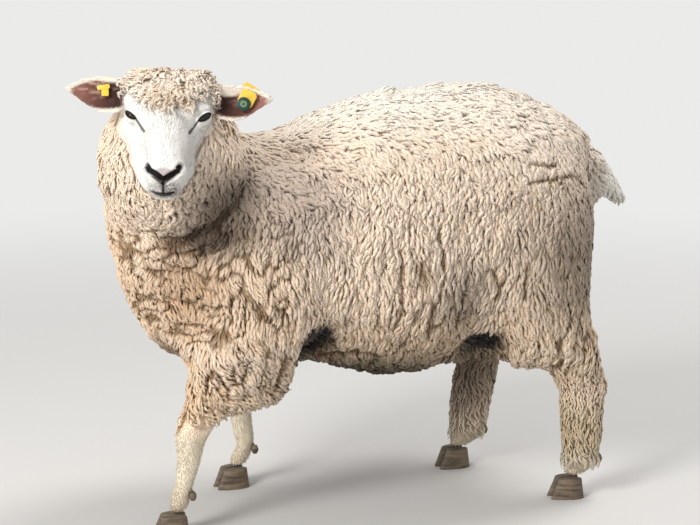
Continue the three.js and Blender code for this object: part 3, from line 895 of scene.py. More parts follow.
points, normals = points_of(skin.data), normals_of(skin.data)
head = in_head(points)
plan = face_plan(head)
pad = ball((plan - PAD_AT) / PAD_SIZE, 0, 0.75, 1.15) * front
lips = fade(np.minimum(mouth, cleft), 2, 9) * front * fade(plan[:, 1], -106, -98)
whiskers_and_side_shade = ball((plan - (-7, -114)) / (30, 15), 0, 0.6, 1.2) * front
# The freckles grow stronger towards the sheep's left side of the muzzle: painted shade.
whiskers_and_side_shade *= ease(drift(points, 0.0035, 20), -0.6, 0.3) * (0.62 + 0.26 * ease(plan[:, 0], -12, 4))
wing = ease(-np.abs(plan[:, 0] + 8.4) + (plan[:, 1] + 107) * 1.25, -0.8, 0.8) * fade(plan[:, 1], -94, -91)
mouth_middle = 1.8 * fade(np.abs(plan[:, 0] + 7), 4, 18)
tints = layered(
    coat_colours(points, normals),
    (pad * 0.8, PINK),
    (lips * 0.75, NOSE_GREY),
    (whiskers_and_side_shade, WHISKER_AND_SHADE_GREY),
    (wing * front, NEAR_BLACK),
    (fade(nostril, 1.2, 3.5) * front * 0.5, NOSE_GREY),
    (fade(nostril, 0.5, 1.7) * front, NEAR_BLACK),
    (fade(fold, 1.0, 2.2) * front * 0.9, NEAR_BLACK),
    (fade(cleft, 1.2, 2.2) * front * 0.9, NEAR_BLACK),
    (ease(mouth_middle - mouth, -1.9, -0.7) * front * 0.9, NEAR_BLACK),
    (fade(lid_line, 1.0, 2.2), NEAR_BLACK),
    (fade(from_lines(plan, TEAR_LINES, 0, 1.2), 0.8, 2.0) * on_cheek * 0.85, TEAR_BROWN),
)
paint(skin, "tint", tints)
print("skin tints from", tints.min(0).round(2), "to", tints.max(0).round(2))

# %% [markdown]
# ## One lock of wool
# A long-wool fleece hangs in locks: flat bundles of crimped fibre, each as wide as a finger's nail and ending
# in a curl. One lock is modelled once, as a three-sided tube with a pointed end: a circle, extruded ring by
# ring. Arrays then bend thousands of copies, each along its own path, into a few joined meshes.


# %% The lock that all others are bent from
def lock_shape(sides, rings):
    shape = bmesh.new()
    ring = bmesh.ops.create_circle(shape, segments=sides, radius=1)["verts"]
    bmesh.ops.contextual_create(shape, geom=ring)
    for step in range(rings):
        ring_edges = [edge for edge in shape.edges if all(vert in ring for vert in edge.verts)]
        grown = bmesh.ops.extrude_edge_only(shape, edges=ring_edges)["geom"]
        ring = [part for part in grown if isinstance(part, bmesh.types.BMVert)]
        bmesh.ops.translate(shape, verts=ring, vec=(0, 0, 1 / rings))
    bmesh.ops.pointmerge(shape, verts=ring, merge_co=(0, 0, 1))
    bmesh.ops.recalc_face_normals(shape, faces=shape.faces)
    bmesh.ops.triangulate(shape, faces=shape.faces)
    shape.verts.index_update()
    corners = np.array([vert.co[:] for vert in shape.verts])
    faces = np.array([[vert.index for vert in face.verts] for face in shape.faces])
    shape.free()
    return corners, faces


LOCK, RINGLET, TUFT = lock_shape(3, 8), lock_shape(3, 13), lock_shape(3, 3)
print("faces in a lock:", len(LOCK[1]), "and in a tuft of short hair:", len(TUFT[1]))

# %% [markdown]
# ## Where locks grow
# Roots are scattered over the skin with a fixed seed and thinned so that no two are closer than their
# spacing. Each root knows its place, its normal, the depth of the coat there and its spot on the unwrap.

# %% Scatter the roots
dice = np.random.default_rng(20)
skin.data.calc_loop_triangles()
triangles = read(skin.data.loop_triangles, "vertices", 3, np.int32)
loops = read(skin.data.loop_triangles, "loops", 3, np.int32)
unwrap = read(skin.data.uv_layers["OFBake"].uv, "vector", 2)[loops]
coat_of = read(skin.data.attributes["coat"].data, "value", 1)[:, 0]
corner = points[triangles]
areas = np.linalg.norm(np.cross(corner[:, 1] - corner[:, 0], corner[:, 2] - corner[:, 0]), axis=1) / 2


class Roots:
    def __init__(self, wanted, spacing):
        """Roots at a spacing in metres, on the triangles whose middles are wanted."""
        middles = corner.mean(1)
        share = areas * wanted(middles, normals[triangles].mean(1))
        count = int(share.sum() / spacing ** 2 * 3.2)
        chosen = dice.choice(len(share), count, p=share / share.sum())
        a, b = np.sqrt(dice.random(count)), dice.random(count)
        mix = np.stack((1 - a, a * (1 - b), a * b), axis=1)
        place = np.einsum("ij,ijk->ik", mix, corner[chosen])
        kept = self.spread(place, spacing)
        chosen, mix, self.place = chosen[kept], mix[kept], place[kept]
        self.normal = unit(np.einsum("ij,ijk->ik", mix, normals[triangles[chosen]]))
        self.depth = np.einsum("ij,ij->i", mix, coat_of[triangles[chosen]])
        self.patch = np.einsum("ij,ijk->ik", mix, unwrap[chosen])

    def spread(self, place, spacing):
        """Keeps a point only where no kept point is nearer than the spacing."""
        taken, kept = {}, []
        cells = np.floor(place / spacing).astype(int)
        for index, ((x, y, z), spot) in enumerate(zip(cells.tolist(), place.tolist())):
            around = (taken.get((x + a, y + b, z + c)) for a, b, c in NEIGHBOURS)
            if not any(other and math.dist(other, spot) < spacing for other in around):
                taken[(x, y, z)] = spot
                kept.append(index)
        return np.array(kept)

    def keep(self, wanted):
        for key in ("place", "normal", "depth", "patch"):
            setattr(self, key, getattr(self, key)[wanted])


NEIGHBOURS = [(x, y, z) for x in (0, -1, 1) for y in (0, -1, 1) for z in (0, -1, 1)]


def woolly(places, normals):
    return np.maximum(bare_face(places), on_ear(places)) < 0.45


def crown(places):
    """One on the crown of the head, where the wool is curled tightest."""
    head = in_head(places)
    return ball(head, CROWN_AT, 88, 100) * ease(head[:, 1], -22, -6)


def wool_grows(places, normals):
    """In the wool, and on the legs down to the knees in front and nearly to the claws behind."""
    body = in_body(places)
    lowest = np.where(body[:, 0] < 0, 203, 74)
    bare = (body[:, 2] < lowest) | (crown(places) >= 0.5) | (hollows(body) > 0.7)
    return woolly(places, normals) * ~bare


FLEECE_GAP, BUNCH_GAP, RINGLET_GAP, HAIR_GAP = 4.76 * MM, 11 * MM, 3.7 * MM, 2.8 * MM
fleece = Roots(wool_grows, FLEECE_GAP)
print("roots in the fleece:", len(fleece.place))

# %% [markdown]
# ## Which way the wool lies
# Wool hangs. On the flanks it falls straight down, along the top of the back it lies backwards, on the crown
# it tumbles over the forehead, and on the legs it points to the ground. The direction at a root is a mix of
# those, laid flat along the skin, and turned a little by smooth noise so that neighbours agree.


# %% Directions
def dots(first, second):
    return np.einsum("ij,ij->i", first, second)[:, None]


def laid(directions, normals):
    return unit(directions - dots(directions, normals) * normals + 1e-6)


def turned(directions, normals, angles):
    side = np.cross(normals, directions)
    return directions * np.cos(angles)[:, None] + side * np.sin(angles)[:, None]


def blend_to(directions, amount, target):
    return directions + (np.array(target) - directions) * amount[:, None]


def head_ways(across, up, out):
    """Directions given across, up and out along the nose, in the room's terms."""
    return np.stack(np.broadcast_arrays(across, up, out), axis=1) @ head_axes


def wool_direction(points, normals):
    body, head = in_body(points), in_head(points)
    flow = np.tile((0.22, 0.0, -1.0), (len(points), 1))
    flow[:, 1] += np.sign(body[:, 1]) * 0.9 * ease(normals[:, 2], 0.2, 0.9) * ease(np.abs(body[:, 1]), 5, 80)
    flow = blend_to(flow, ease(normals[:, 2], 0.35, 0.85), (1.0, 0, 0.1)) + flow * 0.35
    flow = blend_to(flow, fade(body[:, 2], 225, 265) * fade(normals[:, 2], -0.8, -0.3), (1.0, 0, -0.2))
    flow = blend_to(flow, fade(body[:, 0], -270, -190) * ease(body[:, 2], 480, 600), (0.45, 0.1, -1.0))
    flow = blend_to(flow, ease(body[:, 0], 400, 430) * ease(body[:, 2], 440, 480), (0.75, 0, -0.75))
    forearm = fade(body[:, 0], -130, -90) * fade(body[:, 2], 300, 345)
    flow = blend_to(flow, forearm, (0.8, 0, -0.8))
    tumble = head_ways(head[:, 0] / 60, -0.35, 1.0)
    return laid(flow + (tumble - flow) * ball(head, CROWN_AT, 85, 112)[:, None], normals)


print("wool hangs", wool_direction(fleece.place, fleece.normal).mean(0).round(2), "on the whole")

# %% [markdown]
# ## Bending the locks
# A lock starts in the skin, rises to the top of the coat and then lies along it, over the roots of the next
# ones, like shingles. Its tip curls. Locks cling together, so the tips are drawn to the nearest of a sparser
# set of points, and dark creases open between the bunches. All of this is array arithmetic over every lock at
# once; the one lock's rings tell how far along its path each corner lies.


# %% Bend copies along paths
FULL_TURN = 6.283


def bent(
    shape, roots, flow, length, width, curl, turns,
    rise=1.0, pull=0.0, phase=0.0, dive=0.12, relief=None, flat=0.5,
):
    corners = shape[0]
    rings = np.unique(corners[:, 2].round(4))
    count = len(roots.place)
    along = rings[None, :, None]
    up, ahead = roots.normal[:, None, :], flow[:, None, :]
    side = np.cross(roots.normal, flow)[:, None, :]
    pull = np.broadcast_to(pull, (count, 3))[:, None, :]
    path = roots.place[:, None, :] + ahead * length[:, None, None] * along ** 1.35 + pull * along ** 1.5
    high = np.ones((count, len(rings), 1))
    if relief is not None:
        high = relief(path.reshape(-1, 3)).reshape(count, -1, 1)
    height = (roots.depth * rise)[:, None, None] * high
    climb = 1 - (1 - np.minimum(along * 1.25, 1)) ** 2
    path = path + up * height * (climb - np.reshape(dive, (-1, 1, 1)) * along ** 3)
    start = (dice.random(count) * 1.6 + phase)[:, None, None]
    angle = start + along * turns[:, None, None] * FULL_TURN
    swing = curl[:, None, None] * (0.3 + 0.7 * along) * np.minimum(along * 4, 1)
    path = path + (side * np.cos(angle) + up * np.sin(angle) * 0.55) * swing
    run = unit(np.gradient(path, axis=1))
    across = unit(side - np.einsum("ijk,ijk->ij", side * np.ones_like(run), run)[..., None] * run)
    turn, wring = (dice.random(count)[:, None, None] - 0.5 for _ in range(2))
    twist = turn * 0.5 + along * wring * 0.6
    over_it = np.cross(run, across)
    across, over_it = (
        across * np.cos(twist) + over_it * np.sin(twist),
        over_it * np.cos(twist) - across * np.sin(twist),
    )
    step = np.searchsorted(rings, corners[:, 2].round(4))
    # How far each corner lies down in a crease, for the painted shade of lock_tints.
    roots.sunk = fade(high[:, step, 0], 0.3, 0.85)
    body = np.minimum(0.3 + rings * 2.6, 1) * np.clip((1 - rings) / 0.35, 0, 1) ** 0.55
    body = np.where(rings == 1, 1, np.maximum(body, 0.02))[step][None, :, None]
    wide = width[:, None, None] / 2
    place = path[:, step] - across[:, step] * corners[None, :, 1, None] * body * wide
    return place + over_it[:, step] * corners[None, :, 0, None] * body * wide * flat


def patches(shape, roots):
    """Each lock's corners within three thousandths of its root's spot on the skin's unwrap."""
    corners = shape[0]
    offset = np.stack((corners[:, 0] * 0.0014, (corners[:, 2] - 0.5) * 0.0028), axis=1)
    return np.clip(roots.patch[:, None, :] + offset, 0.001, 0.999)


print("steps along a lock:", len(np.unique(LOCK[0][:, 2].round(4))))


# %% [markdown]
# Tens of thousands of objects would be slow, and so would adding the locks to a bmesh one by one. All the
# corners of a piece go into one mesh in a single call, with the colours, the spots on the unwrap and the
# numbers that the finish reads for its crimp. The coat is cut into pieces along the body, of a size that
# stays easy to handle.


# %% Join them into pieces
def joined_piece(name, shape, place, spots, tints, strand):
    corners, faces = shape
    count = len(place)
    mesh = bpy.data.meshes.new(name)
    all_faces = (faces[None] + np.arange(count)[:, None, None] * len(corners)).reshape(-1)
    mesh.vertices.add(count * len(corners))
    mesh.loops.add(len(all_faces))
    mesh.polygons.add(count * len(faces))
    mesh.vertices.foreach_set("co", place.astype(np.float32).ravel())
    mesh.loops.foreach_set("vertex_index", all_faces.astype(np.int32))
    mesh.polygons.foreach_set("loop_start", np.arange(0, len(all_faces), 3, dtype=np.int32))
    layer = mesh.uv_layers.new(name="OFBake")
    layer.uv.foreach_set("vector", spots.reshape(-1, 2)[all_faces].astype(np.float32).ravel())
    mesh.update(calc_edges=True)
    under = (corners[faces][:, :, 0] < 0.1).all(axis=1)
    mesh.polygons.foreach_set("use_smooth", np.tile(~under, count))
    piece = new_object(name, mesh)
    paint(piece, "tint", tints.reshape(-1, 3))
    lie = mesh.attributes.new("strand", "FLOAT_VECTOR", "POINT")
    lie.data.foreach_set("vector", strand.astype(np.float32).ravel())
    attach(piece, "root")
    return piece


def strands(shape, roots, length, width):
    """Millimetres across a lock and along it, and a number that differs from lock to lock."""
    corners, count = shape[0], len(roots.place)
    across = corners[None, :, 0] * width[:, None] / 2 / MM
    along = corners[None, :, 2] * length[:, None] / MM
    own = np.broadcast_to(dice.random(count)[:, None] * 50, across.shape)
    return np.stack((across, along, own), axis=2)


MOST_FACES = 190_000


def make_pieces(name, shape, roots, place, tints, strand):
    """Cuts the locks into pieces by where they grow along the body, none with too many faces."""
    order = np.argsort(in_body(roots.place)[:, 0])
    parts = math.ceil(len(order) * len(shape[1]) / MOST_FACES)
    spots = patches(shape, roots)
    made = []
    for number, chosen in enumerate(np.array_split(order, parts), 1):
        label = f"{name}_{number}"
        made.append(
            joined_piece(label, shape, place[chosen], spots[chosen], tints[chosen], strand[chosen])
        )
    return made


print("pieces can be joined")

# %% [markdown]
# ## The fleece
# The locks are as long as half a finger low on the sides, and shorter on the back, the chest, the ruff and
# the tail. Smooth noise turns them and changes their length from place to place, and chance does a little
# more from lock to lock, so the coat looks grown and not combed.

# %% Comb and curl the fleece
LOW_LOCK, BACK_LOCK, CHEST_LOCK, TAIL_LOCK, RUFF_LOCK = 38, 26, 32, 20, 28
LOCK_WIDTH, LOCK_CURL = 7.2, 2.2
body = in_body(fleece.place)
on_ruff = near(body, (-320, -120, 555), (120, 110, 80))
on_leg = leg_share(fleece.place)
on_chest = fade(body[:, 0], -330, -250) * fade(body[:, 2], 520, 560)
count = len(fleece.place)
flow = wool_direction(fleece.place, fleece.normal)
tail_share = on_tail(body)
upper = ease(body[:, 2], 430, 560) * (1 - tail_share)
sway = 0.40 * drift(fleece.place, 0.055, 1) + 0.22 * drift(fleece.place, 0.02, 2)
sway += (0.6 * drift(fleece.place, 0.009, 18) + dice.normal(0, 0.12, count)) * upper
flow = turned(flow, fleece.normal, sway)
length = LOW_LOCK + 6 * drift(fleece.place, 0.03, 3) + dice.normal(0, 3, count)
length += (BACK_LOCK + 4 * drift(fleece.place, 0.02, 3) - length) * upper
for share, there in ((on_chest, CHEST_LOCK), (tail_share, TAIL_LOCK), (on_ruff, RUFF_LOCK)):
    length += (there - length) * share
length = np.clip(length * (1 - 0.35 * on_leg), 6, 60) * MM
width = (LOCK_WIDTH + dice.normal(0, 1.0, count)) * (1 - 0.25 * on_leg)
width = np.clip(width * (1 + 0.15 * upper) * (1 + 0.3 * np.maximum(on_chest, tail_share)), 3, 12) * MM
on_top = ease(fleece.normal[:, 2], 0.35, 0.85)
curl = (LOCK_CURL + dice.random(count) * 1.2) * (1 + 0.4 * on_ruff) * (1 - 0.2 * on_leg)
curl *= (1 - 0.6 * tail_share) * MM * (1 - 0.35 * on_top)
turns = 1.1 + dice.random(count) * 0.5
phase = 5.0 * drift(fleece.place, 0.022, 7)
print("locks from", (length.min() / MM).round(1), "to", (length.max() / MM).round(1), "mm long")

# %% [markdown]
# ## Lumps, creases and folds
# The coat isn't equally high everywhere. It parts in creases that run down the flanks, it folds across the
# chest, and the ruff hangs over the chest with a groove under it. Most creases are lines along which
# smooth noise crosses zero, and the clearest ones are named paths on the side of the body. Where the coat is
# low, the locks sink, and lock_tints gives them painted shade.


# %% How high the coat stands
PARTINGS = (
    ((66, 496), (77, 418), (63, 350)), ((1, 464), (9, 358), (2, 330)), ((39, 445), (30, 390)),
    ((118, 420), (112, 330)), ((236, 587), (262, 583), (289, 580)),
    ((236, 558), (262, 560), (284, 560), (316, 562), (333, 553), (345, 542)),
)
BIB_ALONG, BIB_HEIGHT = (-420, -371, -349, -319, -289, -259, -235), (500, 498, 503, 516, 536, 557, 590)


def creases(places, stretch, size, seed, width=0.16):
    """One along thin wandering lines, nothing between them."""
    return groove(drift(places * np.array(stretch), size, seed), width)


def relief(points):
    """How high the coat stands anywhere: lumps, creases down the sides, and folds across the chest."""
    x, y, z = in_body(points).T
    chest = fade(x, -330, -250) * fade(z, 500, 540) * ease(z, 260, 300)
    top = ease(z, 540, 620)
    low = np.maximum(fade(z, 360, 500), 0.8 * ease(x, 320, 400) * fade(z, 500, 600))
    low *= ease(z, 190, 240) * (1 - chest)
    high = 1.0 + (0.10 - 0.05 * top) * drift(points, 0.045, 4)
    high *= 1 - 0.35 * creases(points, (1, 1, 0.25), 0.020, 13) * (1 - top) * (1 - chest)
    high *= 1 - 0.12 * creases(points, (0.25, 1, 1), 0.020, 14) * top
    weaker = 1 - 0.6 * ease(y, -20, 60)
    broken = ease(drift(points * np.array((0.4, 0.4, 1)), 0.035, 15), -0.5, 0.1) * weaker
    high *= 1 - 0.8 * creases(points, (1, 1, 0.25), 0.032, 11) * low * broken
    high *= 1 - 0.9 * creases(points, (0.45, 0.45, 1), 0.018, 12, 0.24) * chest * broken
    shoulder = fade(x, -200, -140) * fade(z, 480, 540) * ease(z, 310, 350) * weaker
    high *= 1 - 0.7 * creases(points, (1, 1, 0.6), 0.024, 16, 0.17) * shoulder
    parting = from_lines(np.stack((x, z), axis=1), PARTINGS)
    high *= 1 - 0.7 * groove(parting, 4) * ease(np.abs(y), 90, 120)
    above = z - np.interp(x, BIB_ALONG, BIB_HEIGHT)
    by_bib = fade(y, -100, -60) * ease(x, -390, -360) * fade(x, -250, -225)
    high *= 1 - 0.7 * groove(above + 13, 12) * by_bib
    high *= 1 + 0.6 * ease(above, -4, 8) * fade(above, 20, 75) * by_bib
    return high + (1 - high) * on_tail(in_body(points))


print("the coat sinks to", relief(fleece.place[::50]).min().round(2), "of its height in the creases")

# %% [markdown]
# Grease and crimp make neighbouring locks cling, so a fleece shows bunches with gaps between them. Points
# scattered further apart stand for the bunches, and each tip is drawn towards the nearest one. On the chest
# and under the belly they cling most, and hang as staples.

# %% Draw the tips together and bend the locks
rise = 1 + dice.normal(0, 0.05, count) * (1 - 0.5 * on_top)
bunch = Roots(woolly, BUNCH_GAP)


def bunched(squeeze):
    """From each root to the nearest bunch, where the distance along the locks counts for less."""
    squeeze = np.array(squeeze)
    finder = spot_finder(bunch.place[::2] * squeeze)
    found = [finder.find(spot)[1] for spot in (fleece.place * squeeze).tolist()]
    return bunch.place[::2][found] - fleece.place


pull = bunched((1, 1, 0.3))
pull = pull + (bunched((0.35, 1, 1)) - pull) * on_top[:, None]
pull = pull + (bunched((0.5, 0.5, 1)) - pull) * on_chest[:, None]
pull -= dots(pull, fleece.normal) * fleece.normal
pull -= 0.9 * dots(pull, flow) * flow
gap = np.linalg.norm(pull, axis=1)
rise = rise * (1 - 0.2 * (1 - 0.6 * on_top) * ease(gap, 3 * MM, 13 * MM))
staple = bunched((0.6, 0.6, 1)) + flow * (9 * MM - length[:, None])
low_belly = fade(body[:, 2], 270, 330) * (1 - on_leg)
cling = (0.10 * on_chest + 0.35 * low_belly * (1 - on_chest))[:, None]
pull = pull * 0.3 + (staple - pull * 0.3) * cling
dive = 0.45 - 0.5 * cling[:, 0]
place = bent(LOCK, fleece, flow, length, width, curl, turns, rise, pull, phase, dive, relief, 0.42)
print("locks:", count, "faces:", count * len(LOCK[1]))


# %% [markdown]
# A lock is palest at its tip and warmer deep down, by painted shade. Each corner takes the marking at its
# root, varied a little from lock to lock, and painted shade darkens it near the root, on the lock's underside
# and where the coat sinks, least on the back and the tail and most low on the flank.


# %% Colour and join the fleece
SUNK_PAINTED_SHADE = (0.60, 0.67, 0.75)


def lock_tints(shape, roots, spread, root_shade):
    """A colour for each corner: the marking at the root, varied from lock to lock, with painted shade deep
    down.
    """
    tints = coat_colours(roots.place, roots.normal)
    tints = tints * (1 + dice.normal(0, spread, (len(tints), 1)))
    warm = dice.normal(0, spread * 0.35, len(tints))
    tints = tints * (1 + np.outer(warm, (1, 0, -1.2)))
    corners, body = shape[0], in_body(roots.place)
    # Painted shade at the roots is fainter on the back and the tail, and stronger low on the flank.
    faint = np.maximum(0.7 * ease(body[:, 2], 430, 560), on_tail(body))
    faint -= 1.3 * fade(body[:, 2], 330, 470) * ease(body[:, 2], 180, 240)
    at_root = 1 - (1 - root_shade ** np.array((1, 1.5, 2.2))) * (1 - faint)[:, None, None]
    # Painted shade along the lock: none on its top near the tip, most at the root and on the underside.
    outer = ease(corners[:, 2], 0.1, 0.75)[:, None] * (0.45 + 0.55 * ease(corners[:, 0], -0.5, 0.6)[:, None])
    tints = tints[:, None, :] * (at_root + (1 - at_root) * outer[None])
    # Painted shade where the coat sinks into a crease.
    return np.clip(tints * (1 - roots.sunk[..., None] * SUNK_PAINTED_SHADE), 0, 1)


def grow(name, shape, roots, place, length, width, spread, root_shade):
    """Colours the bent locks and joins them."""
    tints = lock_tints(shape, roots, spread, root_shade)
    return make_pieces(name, shape, roots, place, tints, strands(shape, roots, length, width))


wool_pieces = grow("fleece", LOCK, fleece, place, length, width, 0.03, 0.88)
print("fleece pieces:", len(wool_pieces))

# %% [markdown]
# The crown of the head has its own locks: shorter, closer, and wound into ringlets, so the tube has more
# rings.

# %% Ringlets on the crown
def crown_grows(places, normals):
    return woolly(places, normals) * (on_ear(places) < 0.25) * (crown(places) >= 0.5)


topknot = Roots(crown_grows, RINGLET_GAP)
count = len(topknot.place)
flow = wool_direction(topknot.place, topknot.normal)
sway = 1.1 * drift(topknot.place, 0.02, 8) + dice.normal(0, 0.3, count)
flow = turned(flow, topknot.normal, sway)
by_ear = ease(np.abs(in_head(topknot.place)[:, 0]), 46, 64)
length = np.clip((25 + dice.normal(0, 4, count)) * (1 - 0.5 * by_ear), 9, 40) * MM
width = np.clip(8.6 + dice.normal(0, 0.9, count), 6, 11) * MM
curl = (2.6 + dice.random(count) * 1.6) * MM
turns = 1.5 + dice.random(count) * 0.6
phase = 6.0 * drift(topknot.place, 0.016, 9)
rise = 0.9 + 0.10 * drift(topknot.place, 0.022, 10)
place = bent(RINGLET, topknot, flow, length, width, curl, turns, rise, 0.0, phase, 0.5, None, 0.38)
wool_pieces += grow("topknot", RINGLET, topknot, place, length, width, 0.03, 0.9)
print("ringlets:", count, "faces:", count * len(RINGLET[1]))

# %% [markdown]
# ## Short hair
# The face, the ears and the shins have short flat hair. Small tufts lie on the skin and break its outline.
# They point down on the face and the shins, and outwards round the rims of the ears.

# %% Comb the short hair
def hair_grows(places, normals):
    """On the face, the ears and the shins."""
    height = in_body(places)[:, 2]
    return np.where(woolly(places, normals), (height < 190) * 0.5, 1.0) * (height > 30)


short = Roots(hair_grows, HAIR_GAP)
head = in_head(short.place)
on_shin = in_body(short.place)[:, 2] < 300
muzzle, ear = ease(head[:, 2], 60, 110), on_ear(short.place)
flow = head_ways(head[:, 0] / 90, -0.25, -1.0)
flow = flow + (head_ways(np.sign(head[:, 0]), -0.1, 0.1) - flow) * ear[:, None]
flow = laid(np.where(on_shin[:, None], (0.05, 0, -1.0), flow), short.normal)
flow = turned(flow, short.normal, dice.normal(0, 0.2, len(flow)))
print("tufts at first:", len(flow))

# %% [markdown]
# The nose, the lips, the lids and the inside of the ears are all but bare, so the tufts there are left out
# again, and those around the eyes are short.

# %% Keep it off the eyes, the nose and the cups of the ears
HAIR_LENGTH, HAIR_WIDTH = 6.5, 1.3
out, across, half = along_ear(head)
plan, in_front = face_plan(head), head[:, 2] > 55
hidden = (ear > 0.5) & (np.abs(across) < 0.8 * half) & (out < 0.9)
hidden |= (from_lines(plan, (*NOSTRILS, NOSE_FOLD, LIP_CLEFT, MOUTH)) < 6.0) & in_front
hidden |= (np.linalg.norm((plan - PAD_AT) / (19, 12), axis=1) < 1) & in_front
hidden |= (from_lines(plan, TEAR_LINES) < 2.6) & (head[:, 2] > 0) & (head[:, 2] < 60)
by_eye = np.zeros(len(head))
for side, spot in EYE_AT.items():
    by_eye = np.maximum(by_eye, ball(head, spot, EYE_MM + 6, EYE_MM + 14))
    hidden |= (np.linalg.norm(head - spot, axis=1) < EYE_MM + 9) & (almond(head, side)[0] < 4.5)
short.keep(~hidden)
flow, ear, muzzle, on_shin, by_eye = (kept[~hidden] for kept in (flow, ear, muzzle, on_shin, by_eye))
count = len(short.place)
short.depth = np.full(count, 0.45 * MM) + np.where(on_shin, 1.2 * MM, 0)
length = (HAIR_LENGTH - 3.0 * np.maximum(ear, by_eye) - 3.0 * muzzle + dice.normal(0, 0.5, count)) * MM
width = (HAIR_WIDTH + dice.normal(0, 0.15, count)) * np.where(on_shin, 1.5, 1) * MM
place = bent(TUFT, short, flow, length, width, np.full(count, 0.3 * MM), np.full(count, 0.4))
hair_pieces = grow("short_hair", TUFT, short, place, length, width, 0.02, 0.97)
print("tufts of short hair:", count, "pieces:", len(hair_pieces))

# %% [markdown]
# ## Eyes
# A sheep's eye is dark brown with a wide slot for a pupil, and wet. Each is a globe with the clear front
# standing a little proud. The angles from the middle of the gaze are kept on the mesh for the finish to read.


# %% Make the eyeballs
CORNEA_OUT = 0.055


def eyeball(side, name):
    shape = bmesh.new()
    bmesh.ops.create_uvsphere(shape, u_segments=56, v_segments=36, radius=EYE_RADIUS)
    mesh = mesh_from(shape, name)
    gaze = Vector(np.array((0.66 * side, 0.48, 0.58)) @ head_axes).normalized()
    turn = np.array(Vector((0, 0, 1)).rotation_difference(gaze).to_matrix())
    gaze = np.array(gaze)
    spots = points_of(mesh) @ turn.T
    toward = unit(spots) @ gaze
    spots *= (1 + CORNEA_OUT * ease(toward, 0.72, 0.95))[:, None]
    flat = unit(np.cross((0, 0, 1.0), gaze))
    ways = unit(spots)
    angles = np.arcsin(ways @ flat), np.arcsin(ways @ np.cross(gaze, flat)), np.arccos(toward.clip(-1, 1))
    angles = np.degrees(np.stack(angles, axis=1))
    put_points(mesh, spots + np.array(centre(name)))
    look = mesh.attributes.new("gaze", "FLOAT_VECTOR", "POINT")
    look.data.foreach_set("vector", angles.astype(np.float32).ravel())
    mesh.shade_smooth()
    piece = new_object("eyeball" + name[3:], mesh)
    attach(piece, "root")
    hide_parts(name)
    return piece


eyeballs = [eyeball(-1, "eye_right"), eyeball(1, "eye_left")]
print("eyeballs:", [piece.name for piece in eyeballs])

# %% [markdown]
# ## Claws
# Each foot has two claws of layered horn, and two small dewclaws behind. The frame's solids are right in size
# but plain, so copies are remeshed finely, smoothed and kept flat where they stand.

# %% Round off the claws
HORN_GRID, HORN_ROUNDS = 1.5 * MM, 14


def rounded_horn(name):
    shape = bmesh.new()
    bring_in(shape, (name,))
    piece = new_object("horn_" + name, mesh_from(shape, "horn_" + name))
    net = piece.modifiers.new("net", "REMESH")
    net.mode = "VOXEL"
    net.voxel_size = HORN_GRID
    applied(piece)
    rounded = smoothed(points_of(piece.data), edges_of(piece.data), HORN_ROUNDS, 0.5, -0.5)
    low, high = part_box(name)
    rounded = np.clip(rounded, np.array(low), np.array(high))
    put_points(piece.data, rounded)
    piece.data.shade_smooth()
    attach(piece, "root")
    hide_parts(name)
    return piece


horn_nodes = [name for name in frame["nodes"] if "claw" in name]
horn_pieces = [rounded_horn(name) for name in horn_nodes]
print("claws and dewclaws:", len(horn_pieces))

# %% [markdown]
# ## Ear tags
# Soft moulded plastic has no sharp edge. Copies of the tags' solids are bevelled by half a millimetre.


# %% Bevel the tags
TAG_BEVEL = 0.45 * MM


def bevelled(name):
    shape = bmesh.new()
    bring_in(shape, (name,))
    bmesh.ops.dissolve_limit(shape, angle_limit=math.radians(1), verts=shape.verts, edges=shape.edges)
    sharp = [edge for edge in shape.edges if len(edge.link_faces) == 2 and edge.calc_face_angle() > 0.9]
    bmesh.ops.bevel(
        shape, geom=sharp, offset=TAG_BEVEL, offset_type="OFFSET", segments=2, profile=0.5,
        affect="EDGES", material=-1, clamp_overlap=True,
    )
    mesh = mesh_from(shape, name + "_moulded")
    mesh.shade_smooth()
    mesh.set_sharp_from_angle(angle=math.radians(40))
    piece = new_object(name + "_moulded", mesh)
    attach(piece, "root")
    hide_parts(name)
    return piece


tags = [bevelled("tag_left"), bevelled("tag_right")]
button = bevelled("tag_left_button")
print("tags:", [tag.name for tag in tags], button.name)

# %% [markdown]
# ## Finishes
# Wool is dull, with a faint sheen along the crimp. The crimp itself is far finer than a lock's faces, so it
# is made in the finish: waves across the lock and fine lines along it, both read from the strand attribute.


# %% Wool
def parts_of(finish, name):
    """The three numbers of an attribute kept on the mesh."""
    parted = finish.add("ShaderNodeSeparateXYZ", {}, {0: finish.attribute(name, 1)})
    return [Field(finish, parted.socket.node.outputs[n]) for n in range(3)]


def tint_by(finish, red, green, blue):
    """Takes the colour kept on the mesh, lighter or darker in each channel."""
    share = finish.add("ShaderNodeCombineColor", {}, {0: red, 1: green, 2: blue})
    finish.set(Base_Color=finish.mix(1.0, finish.attribute("tint", 0), share, "MULTIPLY"))


def wear(finish, *pieces):
    for piece in pieces:
        piece.data.materials.append(finish.material)


wool = Finish("crimped_wool", Roughness=0.9, Specular_IOR_Level=0.2, Sheen_Weight=0.15, Sheen_Roughness=0.5)
across, along, own = parts_of(wool, "strand")
bow = across * across * 0.05
crimp = wool.add("ShaderNodeMath", {"operation": "SINE"}, {0: along * 2.4 + own * 9.0 - bow})
fibre_place = wool.add("ShaderNodeCombineXYZ", {}, {0: across * 2.2 + own * 3.0, 1: along * 0.16, 2: own})
fibres = wool.add("ShaderNodeTexNoise", {}, {"Vector": fibre_place, "Scale": 1.0, "Detail": 3.0})
height = crimp * 0.3 + fibres * 1.2
wool.bump(height, 0.0013, 0.6)
darker = wool.range(fibres + crimp * 0.05, 0.28, 0.62, 0.88, 1.03)
tint_by(wool, darker, darker * darker ** 0.3, darker * darker ** 0.7)
wear(wool, *wool_pieces)
print("pieces of wool:", len(wool_pieces))

# %% [markdown]
# The short hair has streaks along it and no crimp. On the skin a fine nap stands for the flat hair between
# the tufts, stretched downwards, as the hair lies.

